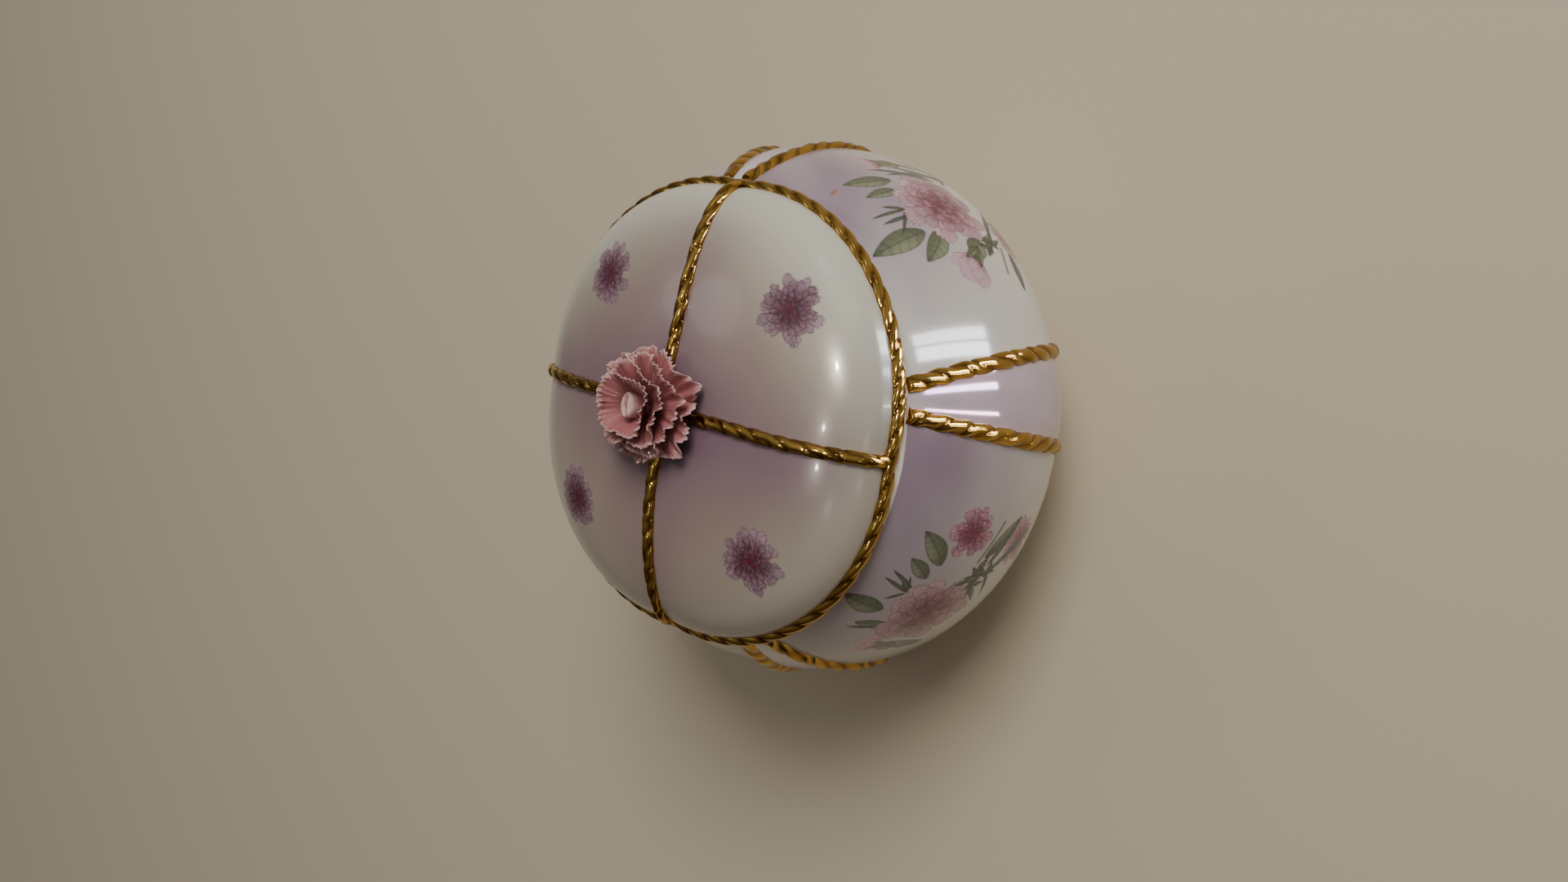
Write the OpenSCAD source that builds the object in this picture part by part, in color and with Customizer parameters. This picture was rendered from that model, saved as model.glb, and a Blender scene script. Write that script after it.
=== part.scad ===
// Porcelain trinket box: ball-shaped bowl with four lustre gussets and gilded cords,
// and a loose puffed lid with a modelled carnation finial.
// Millimetres, real size. Z is up, the foot ring stands on Z = 0, -Y is the front.

/* [Bowl] */
// widest radius of the bowl
body_r = 50; // [47:0.5:53]
// height of the parting plane, where the lid's underside rests on the bowl's lip
bowl_h = 57; // [53:0.5:61]
// height of the widest ring
belly_z = 28; // [25:0.5:31]
// outer radius of the flat lip
lip_r = 39.9; // [39.5:0.1:41]
// inner radius of the round mouth
mouth_r = 35.6; // [35:0.1:36.2]
// wall thickness of the cast body
wall = 3.2; // [2.6:0.1:3.8]
// depth of the thickened lip below the parting plane
lip_depth = 5; // [4.4:0.2:6]
// rounding of the lip's outer edge
lip_round = 0.7; // [0.4:0.1:1]

/* [Foot ring] */
// height of the foot ring
foot_h = 3; // [2.4:0.2:4]
// outer radius of the foot ring at the table
foot_r = 26.4; // [25:0.2:27.4]
// width of the flat standing face
foot_w = 2.8; // [2:0.2:3.6]
// radius at which the belly meets the foot ring
heel_r = 28; // [27.6:0.1:29]

/* [Gussets] */
// half-width of a gusset at the lip
gusset_top = 2.1; // [2.1:0.1:3]
// half-width of a gusset at the foot
gusset_foot = 8.9; // [7.5:0.1:9.5]
// how fast a gusset opens out below the lip
gusset_power = 2.5; // [1.8:0.1:3.2]
// distance of a gusset's own turning axis from the centre line, at the foot
gusset_axis_foot = 8; // [6:0.5:10]
// distance of a gusset's own turning axis from the centre line, at the lip
gusset_axis_top = 34; // [32:0.5:35]
// how deep a gusset is bedded in the bowl wall
gusset_bed = 0.3; // [0.2:0.05:0.5]
// turn of the four gussets about the centre line
gusset_turn = -0.9; // [-5:0.1:5]
// how far the two side gussets stand forward of square to the front one
gusset_forward = 5; // [3:0.5:8]
// lean of the two side gussets' tops towards the front, in degrees
gusset_slant = 6; // [4:1:8]

/* [Lid] */
// radius of each of the four puffed lobes
lobe_r = 35.2; // [34.8:0.1:35.8]
// distance of each lobe's own axis from the centre line
lobe_offset = 5.6; // [4.8:0.1:6]
// rise of the dome above the rim cord
dome_h = 11.4; // [10:0.2:14]
// fullness of the dome's shoulder, 2 for an ellipse
dome_power = 2.2; // [2:0.05:2.6]
// thickness of the lid at the crown
lid_wall = 2.8; // [2.4:0.1:3.4]
// radius of the hollow under the lid, at the parting plane
hollow_r = 32.4; // [31.6:0.1:32.5]
// turn of the lid, as it sits on the bowl
lid_turn = -15; // [-45:1:45]

/* [Locating flange] */
// all-round clearance of the flange in the mouth
flange_gap = 0.5; // [0.35:0.05:0.9]
// height of the flange below the parting plane
flange_h = 4.2; // [3:0.2:4.6]
// thickness of the flange
flange_w = 2.5; // [2:0.1:2.8]

/* [Gilded cords] */
// radius of the cord around the lid's rim
rim_cord_r = 1.3; // [1.1:0.05:1.5]
// full turns of the rim cord's strands along one lobe
rim_turns = 5; // [4:1:7]
// radius of the four cords in the lid's valleys
rib_cord_r = 1.2; // [1:0.05:1.4]
// radius of the eight cords beside the gussets
seam_cord_r = 1.55; // [1.3:0.05:1.7]
// length of one strand's bulge along a cord
bulge_len = 4.2; // [3.6:0.1:5]
// radius at the groove between strands, as a share of the cord's radius
groove = 0.84; // [0.78:0.01:0.9]
// how far the centre of a cord in the lid's valleys stands off the surface, as a share of its radius
cord_lift = 0.1; // [0:0.05:0.3]
// how far the cords beside the gussets are sunk in the surface, as a share of their radius
seam_sink = 0.25; // [0.1:0.05:0.35]

/* [Carnation] */
// radius of the pad the flower is stuck on with
calyx_r = 4.4; // [3.6:0.2:5.4]
// height of the pad above the crown
calyx_h = 1.5; // [1.2:0.1:2]
// radius of the outermost petals
flower_r = 11.2; // [9.5:0.1:12]
// thickness of the petals
petal_t = 0.8; // [0.6:0.05:1]
// height of the innermost petals' edge above the pad
flower_h = 8; // [6.5:0.1:9]
// shape of the petals' rise: 1 is straight, more than 1 is a bowl that steepens outwards
petal_rise = 0.95; // [0.8:0.05:1.6]
// length of the rolled bud in the middle
bud_length = 4.9; // [4:0.1:5.6]
// turn of the rolled bud about its own axis
bud_turn = 12; // [0:1:45]
// how far the flower was stuck on to the right of the lid's centre
flower_x = 1; // [-1.5:0.1:1.5]
// how far the flower was stuck on behind the lid's centre
flower_y = 1; // [-1.5:0.1:1.5]

/* [Hidden] */

eps = 0.01;
$fn = 128;
white_glaze = "#f2eef2";
lilac_glaze = "#cdb9d6";
lustre = "#c9bfe6";
gold = "#d9a441";
petal_pink = "#d98a94";

// ---- bowl meridian: two quarter ellipses that meet at the belly with a common vertical tangent
shoulder = (bowl_h - belly_z) / sqrt(1 - pow(lip_r / body_r, 2));
underside = (belly_z - foot_h) / sqrt(1 - pow(heel_r / body_r, 2));
lip_angle = acos(lip_r / body_r);
heel_angle = acos(heel_r / body_r);
steps = 18;

function reach(z) = z > belly_z ? shoulder : underside;
function bowl_r(z) = body_r * sqrt(1 - pow((z - belly_z) / reach(z), 2));
// outward unit normal of the bowl in its meridian plane, at height z
function bowl_n(z) =
    let(n = [bowl_r(z) / pow(body_r, 2), (z - belly_z) / pow(reach(z), 2)]) n / norm(n);
// point of the meridian at height z, moved out along the normal
function bowl_p(z, out = 0) = [bowl_r(z), z] + out * bowl_n(z);
// heights from the foot to the lip, evenly spread in the ellipses' own angle
function heights() = concat(
    [for (i = [0 : steps]) belly_z - underside * sin(heel_angle * (1 - i / steps))],
    [for (i = [1 : steps]) belly_z + shoulder * sin(lip_angle * i / steps)]);
hs = heights();
last_h = len(hs) - 1;

mouth_bottom = bowl_h - lip_depth;
inner_top = mouth_bottom - 4;
floor_z = foot_h + wall - 0.4;

module base_bowl() {
    outer = [for (z = hs) if (z < bowl_h - lip_round) bowl_p(z)];
    // the inside follows the outside at one wall's distance, up to the thickened lip
    inner = [for (i = [last_h : -1 : 0]) let(q = bowl_p(hs[i], -wall))
        if (q[1] < inner_top && q[1] > floor_z + 0.8) q];
    lip_outer = bowl_r(bowl_h - lip_round);
    color(white_glaze)
    rotate_extrude()
    polygon(concat(
        [[0, foot_h - 0.4], [foot_r - foot_w - 4, foot_h - 0.7], [foot_r - foot_w - 0.9, 1.2],
         [foot_r - foot_w, 0], [foot_r, 0], [foot_r + 0.6, 0.7], [heel_r - 0.9, foot_h - 0.6]],
        outer,
        [[lip_outer, bowl_h - lip_round], [lip_outer - 0.2 * lip_round, bowl_h - 0.3 * lip_round],
         [lip_outer - 0.8 * lip_round, bowl_h],
         [mouth_r + 0.3, bowl_h], [mouth_r, bowl_h - 0.3], [mouth_r, mouth_bottom],
         [mouth_r + 0.8, mouth_bottom - 1.2]],
        inner,
        [[heel_r - wall - 4, floor_z + 0.25], [0, floor_z]]));
}

// ---- gussets: the seam line turned about a leaning axis of its own
lean = atan((gusset_axis_top - gusset_axis_foot) / bowl_h);
// half-width of a gusset at height z
function seam_w(z) =
    gusset_top + (gusset_foot - gusset_top) * (1 - pow(max(z, 0) / bowl_h, gusset_power));
// distance from the centre line to the chord between a gusset's two seams
function chord(z) = sqrt(pow(bowl_r(z), 2) - pow(seam_w(z), 2));

module gusset(turn, slant = 0) {
    profile = [for (i = [0 : 26]) let(
        z = bowl_h * i / 26,
        a = chord(z) - gusset_axis_foot,
        across = a * cos(lean) - z * sin(lean),
        along = a * sin(lean) + z * cos(lean))
        [norm([across, seam_w(z)]), along]];
    top = bowl_h - 0.5;
    color(lustre)
    rotate([0, 0, turn + gusset_turn])
    difference() {
        intersection() {
            translate([0, 0, belly_z])
            rotate([slant, 0, 0])
            translate([gusset_axis_foot, 0, -belly_z])
            rotate([0, lean, 0])
            rotate_extrude()
            polygon(concat([[0, profile[0][1]]], profile, [[0, profile[26][1]]]));
            translate([body_r / 3, -body_r / 2, foot_h + 0.2])
            cube([body_r, body_r, top - foot_h - 0.2]);
        }
        rotate([0, 0, 7])
        rotate_extrude()
        polygon(concat([[0, -3], [bowl_p(foot_h, -gusset_bed)[0] - 2, -3]],
            [for (z = hs) bowl_p(z, -gusset_bed)], [[0, bowl_h + 2]]));
    }
}
module gusset_front() { gusset(-90); }
module gusset_right() { gusset(-gusset_forward, gusset_slant); }
module gusset_back() { gusset(90); }
module gusset_left() { gusset(180 + gusset_forward, -gusset_slant); }

// ---- twisted cord: three strands, swept along a path
// out holds the surface normal at each point of the path, hand is 1 or -1 for the lay of the strands,
// and flat_top, where it is given, is the height of a level cut that ends the cord
function unit(v) = v / norm(v);
stations_per_bulge = 3;
module twisted_cord(path, out, r, hand = 1, closed = false, flat_top = undef) {
    n = len(path);
    sides = 6;
    twist = hand * 120 / stations_per_bulge;
    function at(i) = closed ? path[(i + n) % n] : path[max(0, min(n - 1, i))];
    // the first and last rings of an open cord close in to a blunt end
    function cut(i) = !is_undef(flat_top) && i == n - 1;
    function taper(i) = closed || cut(i) ? 1 : (i == 0 || i == n - 1) ? 0.55 : 1;
    ring = [for (i = [0 : n - 1]) let(
        t = unit(at(i + 1) - at(i - 1)),
        b = unit(cross(t, out[i])),
        u = cross(b, t))
        for (k = [0 : sides - 1]) let(
            ang = k * 360 / sides + i * twist,
            rr = r * taper(i) * (k % 2 == 0 ? 1 : groove),
            p = path[i] + rr * (cos(ang) * u + sin(ang) * b))
            cut(i) ? p + t * (flat_top - p[2]) / t[2] : p];
    last = closed ? n - 1 : n - 2;
    walls = [for (i = [0 : last], k = [0 : sides - 1]) let(
        j = (i + 1) % n, k2 = (k + 1) % sides,
        a = i * sides + k, b = i * sides + k2, c = j * sides + k, d = j * sides + k2)
        each (hand > 0 ? [[a, b, c], [b, d, c]] : [[a, b, d], [a, d, c]])];
    ends = closed ? [] : concat(
        [for (k = [1 : sides - 2]) [0, k + 1, k]],
        [for (k = [1 : sides - 2]) [(n - 1) * sides, (n - 1) * sides + k, (n - 1) * sides + k + 1]]);
    color(gold)
    polyhedron(points = ring, faces = concat(walls, ends), convexity = 10);
}

// cord beside a gusset: side is +1 or -1 across the gusset, slant as for the gusset itself
seam_low = foot_h + 1.2;
seam_cut = bowl_h - 0.3;
seam_high = seam_cut - 0.35;
module seam_cord(turn, side, slant = 0) {
    bulges = round(1.14 * (seam_high - seam_low) / bulge_len);
    n = bulges * stations_per_bulge;
    lift = -seam_sink * seam_cord_r;
    function across(z) = side * seam_w(z) - tan(slant) * (z - belly_z);
    // the seam's heights are spread in the ellipse's own angle, so that the strands stay even
    low_a = -asin((belly_z - seam_low) / underside);
    high_a = asin((seam_high - belly_z) / shoulder);
    zs = [for (i = [0 : n]) let(a = low_a + (high_a - low_a) * i / n)
        belly_z + (a < 0 ? underside : shoulder) * sin(a)];
    rotate([0, 0, turn + gusset_turn])
    twisted_cord(
        [for (z = zs) let(q = bowl_p(z, lift), w = across(z))
            [sqrt(pow(q[0], 2) - pow(w, 2)), w, q[1]]],
        [for (z = zs) let(m = bowl_n(z), a = asin(across(z) / bowl_r(z)))
            [m[0] * cos(a), m[0] * sin(a), m[1]]],
        seam_cord_r, side, flat_top = seam_cut);
}
module rope_front_left() { seam_cord(-90, -1); }
module rope_front_right() { seam_cord(-90, 1); }
module rope_right_front() { seam_cord(-gusset_forward, -1, gusset_slant); }
module rope_right_back() { seam_cord(-gusset_forward, 1, gusset_slant); }
module rope_back_right() { seam_cord(90, -1); }
module rope_back_left() { seam_cord(90, 1); }
module rope_left_back() { seam_cord(180 + gusset_forward, -1, -gusset_slant); }
module rope_left_front() { seam_cord(180 + gusset_forward, 1, -gusset_slant); }

// ---- lid
rim_cord_z = bowl_h + rim_cord_r + 0.15;
crown_z = rim_cord_z + dome_h;
// height of the dome's surface at distance s from a lobe's own axis
function dome_z(s) = rim_cord_z
    + dome_h * pow(1 - pow(min(s / lobe_r, 1), dome_power), 1 / dome_power);
// distance of a valley point from the nearest lobe's axis, at radius r from the centre line
function valley_s(r) = sqrt(r * r + pow(lobe_offset, 2) - 2 * r * lobe_offset * cos(45));
// radius at which a valley meets the lid's rim
valley_r = lobe_offset * cos(45) + sqrt(pow(lobe_r, 2) - pow(lobe_offset * sin(45), 2));
hollow_h = crown_z - lid_wall - bowl_h;

module lid_dome() {
    arch = [for (i = [0 : 24]) let(s = lobe_r * sin(90 * i / 24)) [s, dome_z(s)]];
    color(lilac_glaze)
    rotate([0, 0, lid_turn])
    difference() {
        union()
        for (k = [0 : 3])
            rotate([0, 0, 45 + 90 * k])
            translate([lobe_offset, 0, 0])
            intersection() {
                rotate_extrude()
                polygon(concat([[0, bowl_h]], arch, [[lobe_r, bowl_h]]));
                // quarter of the lid that this lobe covers
                translate([-lobe_offset, 0, bowl_h - 1])
                rotate([0, 0, -45])
                cube([2 * lobe_r, 2 * lobe_r, 2 * dome_h + 10]);
            }
        rotate_extrude()
        polygon(concat([[0, bowl_h - 2], [hollow_r, bowl_h - 2]],
            [for (i = [0 : 20]) [hollow_r * cos(90 * i / 20), bowl_h + hollow_h * sin(90 * i / 20)]]));
    }
}

flange_r = mouth_r - flange_gap;
module lid_flange() {
    color(white_glaze)
    rotate_extrude()
    polygon([[flange_r - flange_w, bowl_h], [flange_r - flange_w, bowl_h - flange_h + 0.5],
        [flange_r - flange_w + 0.5, bowl_h - flange_h], [flange_r - 0.8, bowl_h - flange_h],
        [flange_r, bowl_h - flange_h + 0.8], [flange_r, bowl_h]]);
}

module lid_rim_rope() {
    per_lobe = 9 * rim_turns;
    half = asin(valley_r * sin(45) / lobe_r);
    r = lobe_r + 0.1;
    pts = [for (k = [0 : 3], i = [0 : per_lobe - 1]) let(
        a = -half + 2 * half * (i + 0.5) / per_lobe, m = 45 + 90 * k)
        [lobe_offset * cos(m) + r * cos(m + a), lobe_offset * sin(m) + r * sin(m + a), rim_cord_z]];
    normals = [for (k = [0 : 3], i = [0 : per_lobe - 1]) let(
        a = 45 + 90 * k - half + 2 * half * (i + 0.5) / per_lobe) [cos(a), sin(a), 0]];
    rotate([0, 0, lid_turn])
    twisted_cord(pts, normals, rim_cord_r, 1, true);
}

rib_start = calyx_r - 1.6;
module lid_rib(turn) {
    n = stations_per_bulge * round(0.92 * lobe_r / (0.85 * bulge_len));
    lift = cord_lift * rib_cord_r;
    // radii along the valley, closer together where the dome falls away
    rs = [for (i = [0 : n]) rib_start + (valley_r + 0.1 - rib_start) * sin(84 * i / n) / sin(84)];
    z = [for (r = rs) dome_z(valley_s(r)) + lift];
    rotate([0, 0, lid_turn + turn])
    twisted_cord(
        [for (i = [0 : n]) [rs[i], 0, z[i]]],
        [for (i = [0 : n]) let(a = max(0, i - 1), b = min(n, i + 1),
            t = unit([rs[b] - rs[a], 0, z[b] - z[a]])) [-t[2], 0, t[0]]],
        rib_cord_r, 1);
}
module lid_rope_front() { lid_rib(-90); }
module lid_rope_right() { lid_rib(0); }
module lid_rope_back() { lid_rib(90); }
module lid_rope_left() { lid_rib(180); }

// ---- carnation: each tier is a thin dished disc with a waved, fringed edge
calyx_top = crown_z + calyx_h;
flower_centre = [flower_x, flower_y, 0];
module carnation_calyx() {
    low = dome_z(lobe_offset) - 0.4;
    color(petal_pink)
    translate(flower_centre)
    rotate_extrude()
    polygon([[0, low], [calyx_r, low], [calyx_r * 0.93, crown_z + 0.3 * calyx_h],
        [calyx_r * 0.72, crown_z + 0.75 * calyx_h], [calyx_r * 0.4, calyx_top], [0, calyx_top]]);
}

// waves is the number of folds around the edge, dish the rise of the edge above the centre
module petals(z0, r, dish, waves, ruffle, fringe, turn, rings = 4, segments = 72) {
    function edge(v, k) = let(a = 360 * k / segments)
        r * v * (1 + 0.09 * v * cos(waves * a + 50) + 0.05 * v * sin(2 * a + turn)
            + (v > 0.99 && k % 2 == 1 ? -fringe : 0));
    function rise(v, k) = let(a = 360 * k / segments)
        dish * pow(v, petal_rise)
            + ruffle * v * v * (sin(waves * a) + 0.4 * sin((waves + 3) * a));
    function p(j, k, lift) = let(v = j / rings, a = 360 * k / segments)
        [edge(v, k) * cos(a), edge(v, k) * sin(a), z0 + rise(v, k) + lift];
    // numbering: centre, then rings outward, for the upper skin and then the lower skin
    skin = 1 + rings * segments;
    function id(s, j, k) = s * skin + (j == 0 ? 0 : 1 + (j - 1) * segments + (k % segments));
    pts = [for (s = [0, 1]) each concat(
        [[0, 0, z0 + (s == 0 ? petal_t : 0)]],
        [for (j = [1 : rings], k = [0 : segments - 1])
            p(j, k, s == 0 ? petal_t * (1 - 0.45 * j / rings) : 0)])];
    faces = concat(
        [for (k = [0 : segments - 1]) each [
            [id(0, 0, 0), id(0, 1, k + 1), id(0, 1, k)],
            [id(1, 0, 0), id(1, 1, k), id(1, 1, k + 1)],
            [id(0, rings, k), id(0, rings, k + 1), id(1, rings, k)],
            [id(0, rings, k + 1), id(1, rings, k + 1), id(1, rings, k)]]],
        [for (j = [1 : rings - 1], k = [0 : segments - 1]) each [
            [id(0, j, k), id(0, j, k + 1), id(0, j + 1, k)],
            [id(0, j, k + 1), id(0, j + 1, k + 1), id(0, j + 1, k)],
            [id(1, j, k), id(1, j + 1, k), id(1, j, k + 1)],
            [id(1, j, k + 1), id(1, j + 1, k), id(1, j + 1, k + 1)]]]);
    color(petal_pink)
    translate(flower_centre)
    rotate([0, 0, turn])
    polyhedron(points = pts, faces = faces, convexity = 10);
}
// each tier starts a little higher than the last, is narrower and rises more steeply
module carnation_outer_petals() {
    petals(calyx_top - 0.3, flower_r * 0.92, 0.2 * flower_h, 6, 0.8, 0.06, 50, 4, 72);
}
module carnation_middle_petals() {
    petals(calyx_top + 0.05, flower_r * 0.78, 0.44 * flower_h, 5, 0.6, 0.06, 65, 4, 66);
}
module carnation_upper_petals() {
    petals(calyx_top + 0.4, flower_r * 0.63, 0.66 * flower_h, 5, 0.45, 0.06, 5, 4, 54);
}
module carnation_inner_petals() {
    petals(calyx_top + 0.75, flower_r * 0.49, 0.82 * flower_h, 4, 0.35, 0.07, 40, 4, 42);
}
// rolled bud: two arcs meeting in sharp ends, with a sloping top
module carnation_heart() {
    low = calyx_top + 0.28 * flower_h;
    high = calyx_top + 0.86 * flower_h;
    half_length = bud_length / 2;
    half_width = 0.29 * bud_length;
    arc_r = (pow(half_length, 2) + pow(half_width, 2)) / (2 * half_width);
    color(petal_pink)
    translate(flower_centre)
    rotate([0, 0, bud_turn])
    difference() {
        intersection_for (way = [-1, 1])
            translate([0, way * (arc_r - half_width), low]) cylinder(r = arc_r, h = high - low);
        translate([-half_length, 0, high])
            rotate([0, 14, 0])
            translate([-bud_length, -bud_length, 0]) cube([4 * bud_length, 2 * bud_length, bud_length]);
    }
}

base_bowl();
gusset_front();
gusset_right();
gusset_back();
gusset_left();
rope_front_left();
rope_front_right();
rope_right_front();
rope_right_back();
rope_back_right();
rope_back_left();
rope_left_back();
rope_left_front();
lid_flange();
lid_dome();
lid_rim_rope();
lid_rope_front();
lid_rope_right();
lid_rope_back();
lid_rope_left();
carnation_calyx();
carnation_outer_petals();
carnation_middle_petals();
carnation_upper_petals();
carnation_inner_petals();
carnation_heart();
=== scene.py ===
"""Looks of the porcelain trinket box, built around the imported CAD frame.

Shapes are in millimetres until they become meshes. Z is up, the foot stands on Z = 0 and -Y is the front.
"""

import math

import bpy
import numpy as np
from mathutils import Matrix, Vector


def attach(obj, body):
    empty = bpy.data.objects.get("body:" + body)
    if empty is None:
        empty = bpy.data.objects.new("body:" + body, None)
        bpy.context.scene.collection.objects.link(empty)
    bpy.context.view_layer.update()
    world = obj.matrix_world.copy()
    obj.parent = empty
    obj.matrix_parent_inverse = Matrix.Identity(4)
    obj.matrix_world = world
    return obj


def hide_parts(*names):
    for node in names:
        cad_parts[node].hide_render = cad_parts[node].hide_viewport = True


MM = 0.001
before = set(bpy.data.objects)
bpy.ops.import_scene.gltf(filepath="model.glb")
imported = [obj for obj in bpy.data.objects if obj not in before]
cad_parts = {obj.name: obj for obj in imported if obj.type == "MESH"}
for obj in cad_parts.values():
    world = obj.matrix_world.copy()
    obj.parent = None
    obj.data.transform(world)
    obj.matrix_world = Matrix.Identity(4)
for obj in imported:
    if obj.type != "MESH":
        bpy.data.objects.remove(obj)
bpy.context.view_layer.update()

# ---- shape, the same values as the part
BODY_R, BOWL_H, BELLY_Z, LIP_R, MOUTH_R, WALL = 50.0, 57.0, 28.0, 39.9, 35.6, 3.2
LIP_DEPTH, LIP_ROUND = 5.0, 0.7
FOOT_H, FOOT_R, FOOT_W, HEEL_R = 3.0, 26.4, 2.8, 28.0
GUSSET_TOP, GUSSET_FOOT, GUSSET_POWER = 2.1, 8.9, 2.5
GUSSET_AXIS_FOOT, GUSSET_AXIS_TOP, GUSSET_TURN, GUSSET_FORWARD, GUSSET_SLANT = 8.0, 34.0, -0.9, 5.0, 6.0
LOBE_R, LOBE_OFFSET, DOME_H, DOME_POWER = 35.2, 5.6, 11.4, 2.2
LID_WALL, HOLLOW_R, LID_TURN = 2.8, 32.4, -15.0
FLANGE_GAP, FLANGE_H, FLANGE_W = 0.5, 4.2, 2.5
RIM_CORD_R, RIB_CORD_R, SEAM_CORD_R, BULGE_LEN, CORD_LIFT, SEAM_SINK = 1.3, 1.2, 1.55, 4.2, 0.1, 0.25
CALYX_R, CALYX_H, FLOWER_R, PETAL_T, FLOWER_H = 4.4, 1.5, 11.2, 0.8, 8.0
PETAL_RISE, BUD_LENGTH, BUD_TURN = 0.95, 4.9, 12.0
FLOWER_AT = np.array([1.0, 1.0])

SHOULDER = (BOWL_H - BELLY_Z) / math.sqrt(1 - (LIP_R / BODY_R) ** 2)
UNDERSIDE = (BELLY_Z - FOOT_H) / math.sqrt(1 - (HEEL_R / BODY_R) ** 2)
RIM_Z = BOWL_H + RIM_CORD_R + 0.15
CROWN_Z = RIM_Z + DOME_H
CALYX_TOP = CROWN_Z + CALYX_H
DIAGONAL = math.cos(math.radians(45))
VALLEY_R = LOBE_OFFSET * DIAGONAL + math.sqrt(LOBE_R**2 - (LOBE_OFFSET * DIAGONAL) ** 2)
FRONT, RIGHT, BACK, LEFT = -90.0, -GUSSET_FORWARD, 90.0, 180.0 + GUSSET_FORWARD


def bowl_r(z):
    reach = np.where(z > BELLY_Z, SHOULDER, UNDERSIDE)
    return BODY_R * np.sqrt(1 - ((z - BELLY_Z) / reach) ** 2)


def bowl_n(z):
    reach = np.where(z > BELLY_Z, SHOULDER, UNDERSIDE)
    n = np.stack([bowl_r(z) / BODY_R**2, (z - BELLY_Z) / reach**2], -1)
    return n / np.linalg.norm(n, axis=-1, keepdims=True)


def seam_w(z):
    return GUSSET_TOP + (GUSSET_FOOT - GUSSET_TOP) * (1 - (np.maximum(z, 0) / BOWL_H) ** GUSSET_POWER)


def dome_z(s):
    inside = 1 - np.minimum(s / LOBE_R, 1) ** DOME_POWER
    return RIM_Z + DOME_H * np.maximum(inside, 0) ** (1 / DOME_POWER)


# ---- small helpers
def smooth(x, low, high):
    t = np.clip((x - low) / (high - low), 0, 1)
    return t * t * (3 - 2 * t)


def mix(a, b, t):
    t = np.asarray(t)[..., None]
    return np.asarray(a) * (1 - t) + np.asarray(b) * t


def turn_about_z(points, degrees, shift=(0, 0)):
    a = math.radians(degrees)
    x = points[:, 0] * math.cos(a) - points[:, 1] * math.sin(a)
    y = points[:, 0] * math.sin(a) + points[:, 1] * math.cos(a)
    return np.stack([x + shift[0], y + shift[1], points[:, 2]], -1)


def towards(angle):
    return np.array([math.cos(angle), math.sin(angle)])


def degrees_past(azimuth, centre):
    return (azimuth - centre + 180) % 360 - 180


def once_round(count):
    return np.linspace(0, 2 * math.pi, count, endpoint=False)


def soft_noise(x, y, seed, size):
    """Sum of a few waves in random directions: smooth, unequal, and about `size` across."""
    rng = np.random.default_rng(seed)
    total = np.zeros_like(x)
    for k in range(9):
        a, phase, scale = rng.uniform(0, 2 * math.pi), rng.uniform(0, 2 * math.pi), rng.uniform(0.6, 1.8)
        total = total + np.sin((x * math.cos(a) + y * math.sin(a)) * 2 * math.pi / (size * scale) + phase)
    return total / 4


def spaced(stops):
    """Positions between stops, with (start, end, step) runs."""
    runs = [np.linspace(a, b, max(2, int(round(abs(b - a) / step)) + 1))[:-1] for a, b, step in stops]
    return np.concatenate(runs)


def azimuth_runs(centres, half, dense, coarse):
    """Azimuths once round, `dense` degrees apart within `half` of each centre and `coarse` elsewhere."""
    marks = sorted(c % 360 for c in centres)
    stops = []
    for c, after in zip(marks, marks[1:] + [marks[0] + 360]):
        stops += [(c - half, c + half, dense), (c + half, after - half, coarse)]
    return spaced(stops)


def grid_quads(rows, cols, wrap, first=0):
    r, c = np.meshgrid(np.arange(rows - 1), np.arange(cols if wrap else cols - 1), indexing="ij")
    a = first + r * cols + c
    b = first + r * cols + (c + 1) % cols
    return np.stack([a, b, b + cols, a + cols], -1).reshape(-1, 4)


def fan(apex, first, cols, flip):
    """Triangles from the vertex `apex` to the ring of `cols` vertices that starts at `first`."""
    k = np.arange(cols)
    here, after = first + k, first + (k + 1) % cols
    return np.stack([np.full(cols, apex), after, here] if flip else [np.full(cols, apex), here, after], -1)


def capped(grid, start, end, flip=False):
    """Rings of vertices, closed by a fan at each end. `flip` turns all faces over."""
    rows, cols = grid.shape[:2]
    n = rows * cols
    quads = grid_quads(rows, cols, True)
    points = np.concatenate([grid.reshape(-1, 3), [start, end]])
    ends = [fan(n, 0, cols, not flip), fan(n + 1, (rows - 1) * cols, cols, flip)]
    return points, [quads[:, ::-1] if flip else quads] + ends


def looped(grid):
    """Rings of vertices whose last ring joins the first."""
    rows, cols = grid.shape[:2]
    k = np.arange(cols)
    last = (rows - 1) * cols
    join = np.stack([last + k, last + (k + 1) % cols, (k + 1) % cols, k], -1)
    return grid.reshape(-1, 3), [grid_quads(rows, cols, True), join]


def place(name, data):
    obj = bpy.data.objects.new(name, data)
    bpy.context.scene.collection.objects.link(obj)
    return obj


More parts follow.
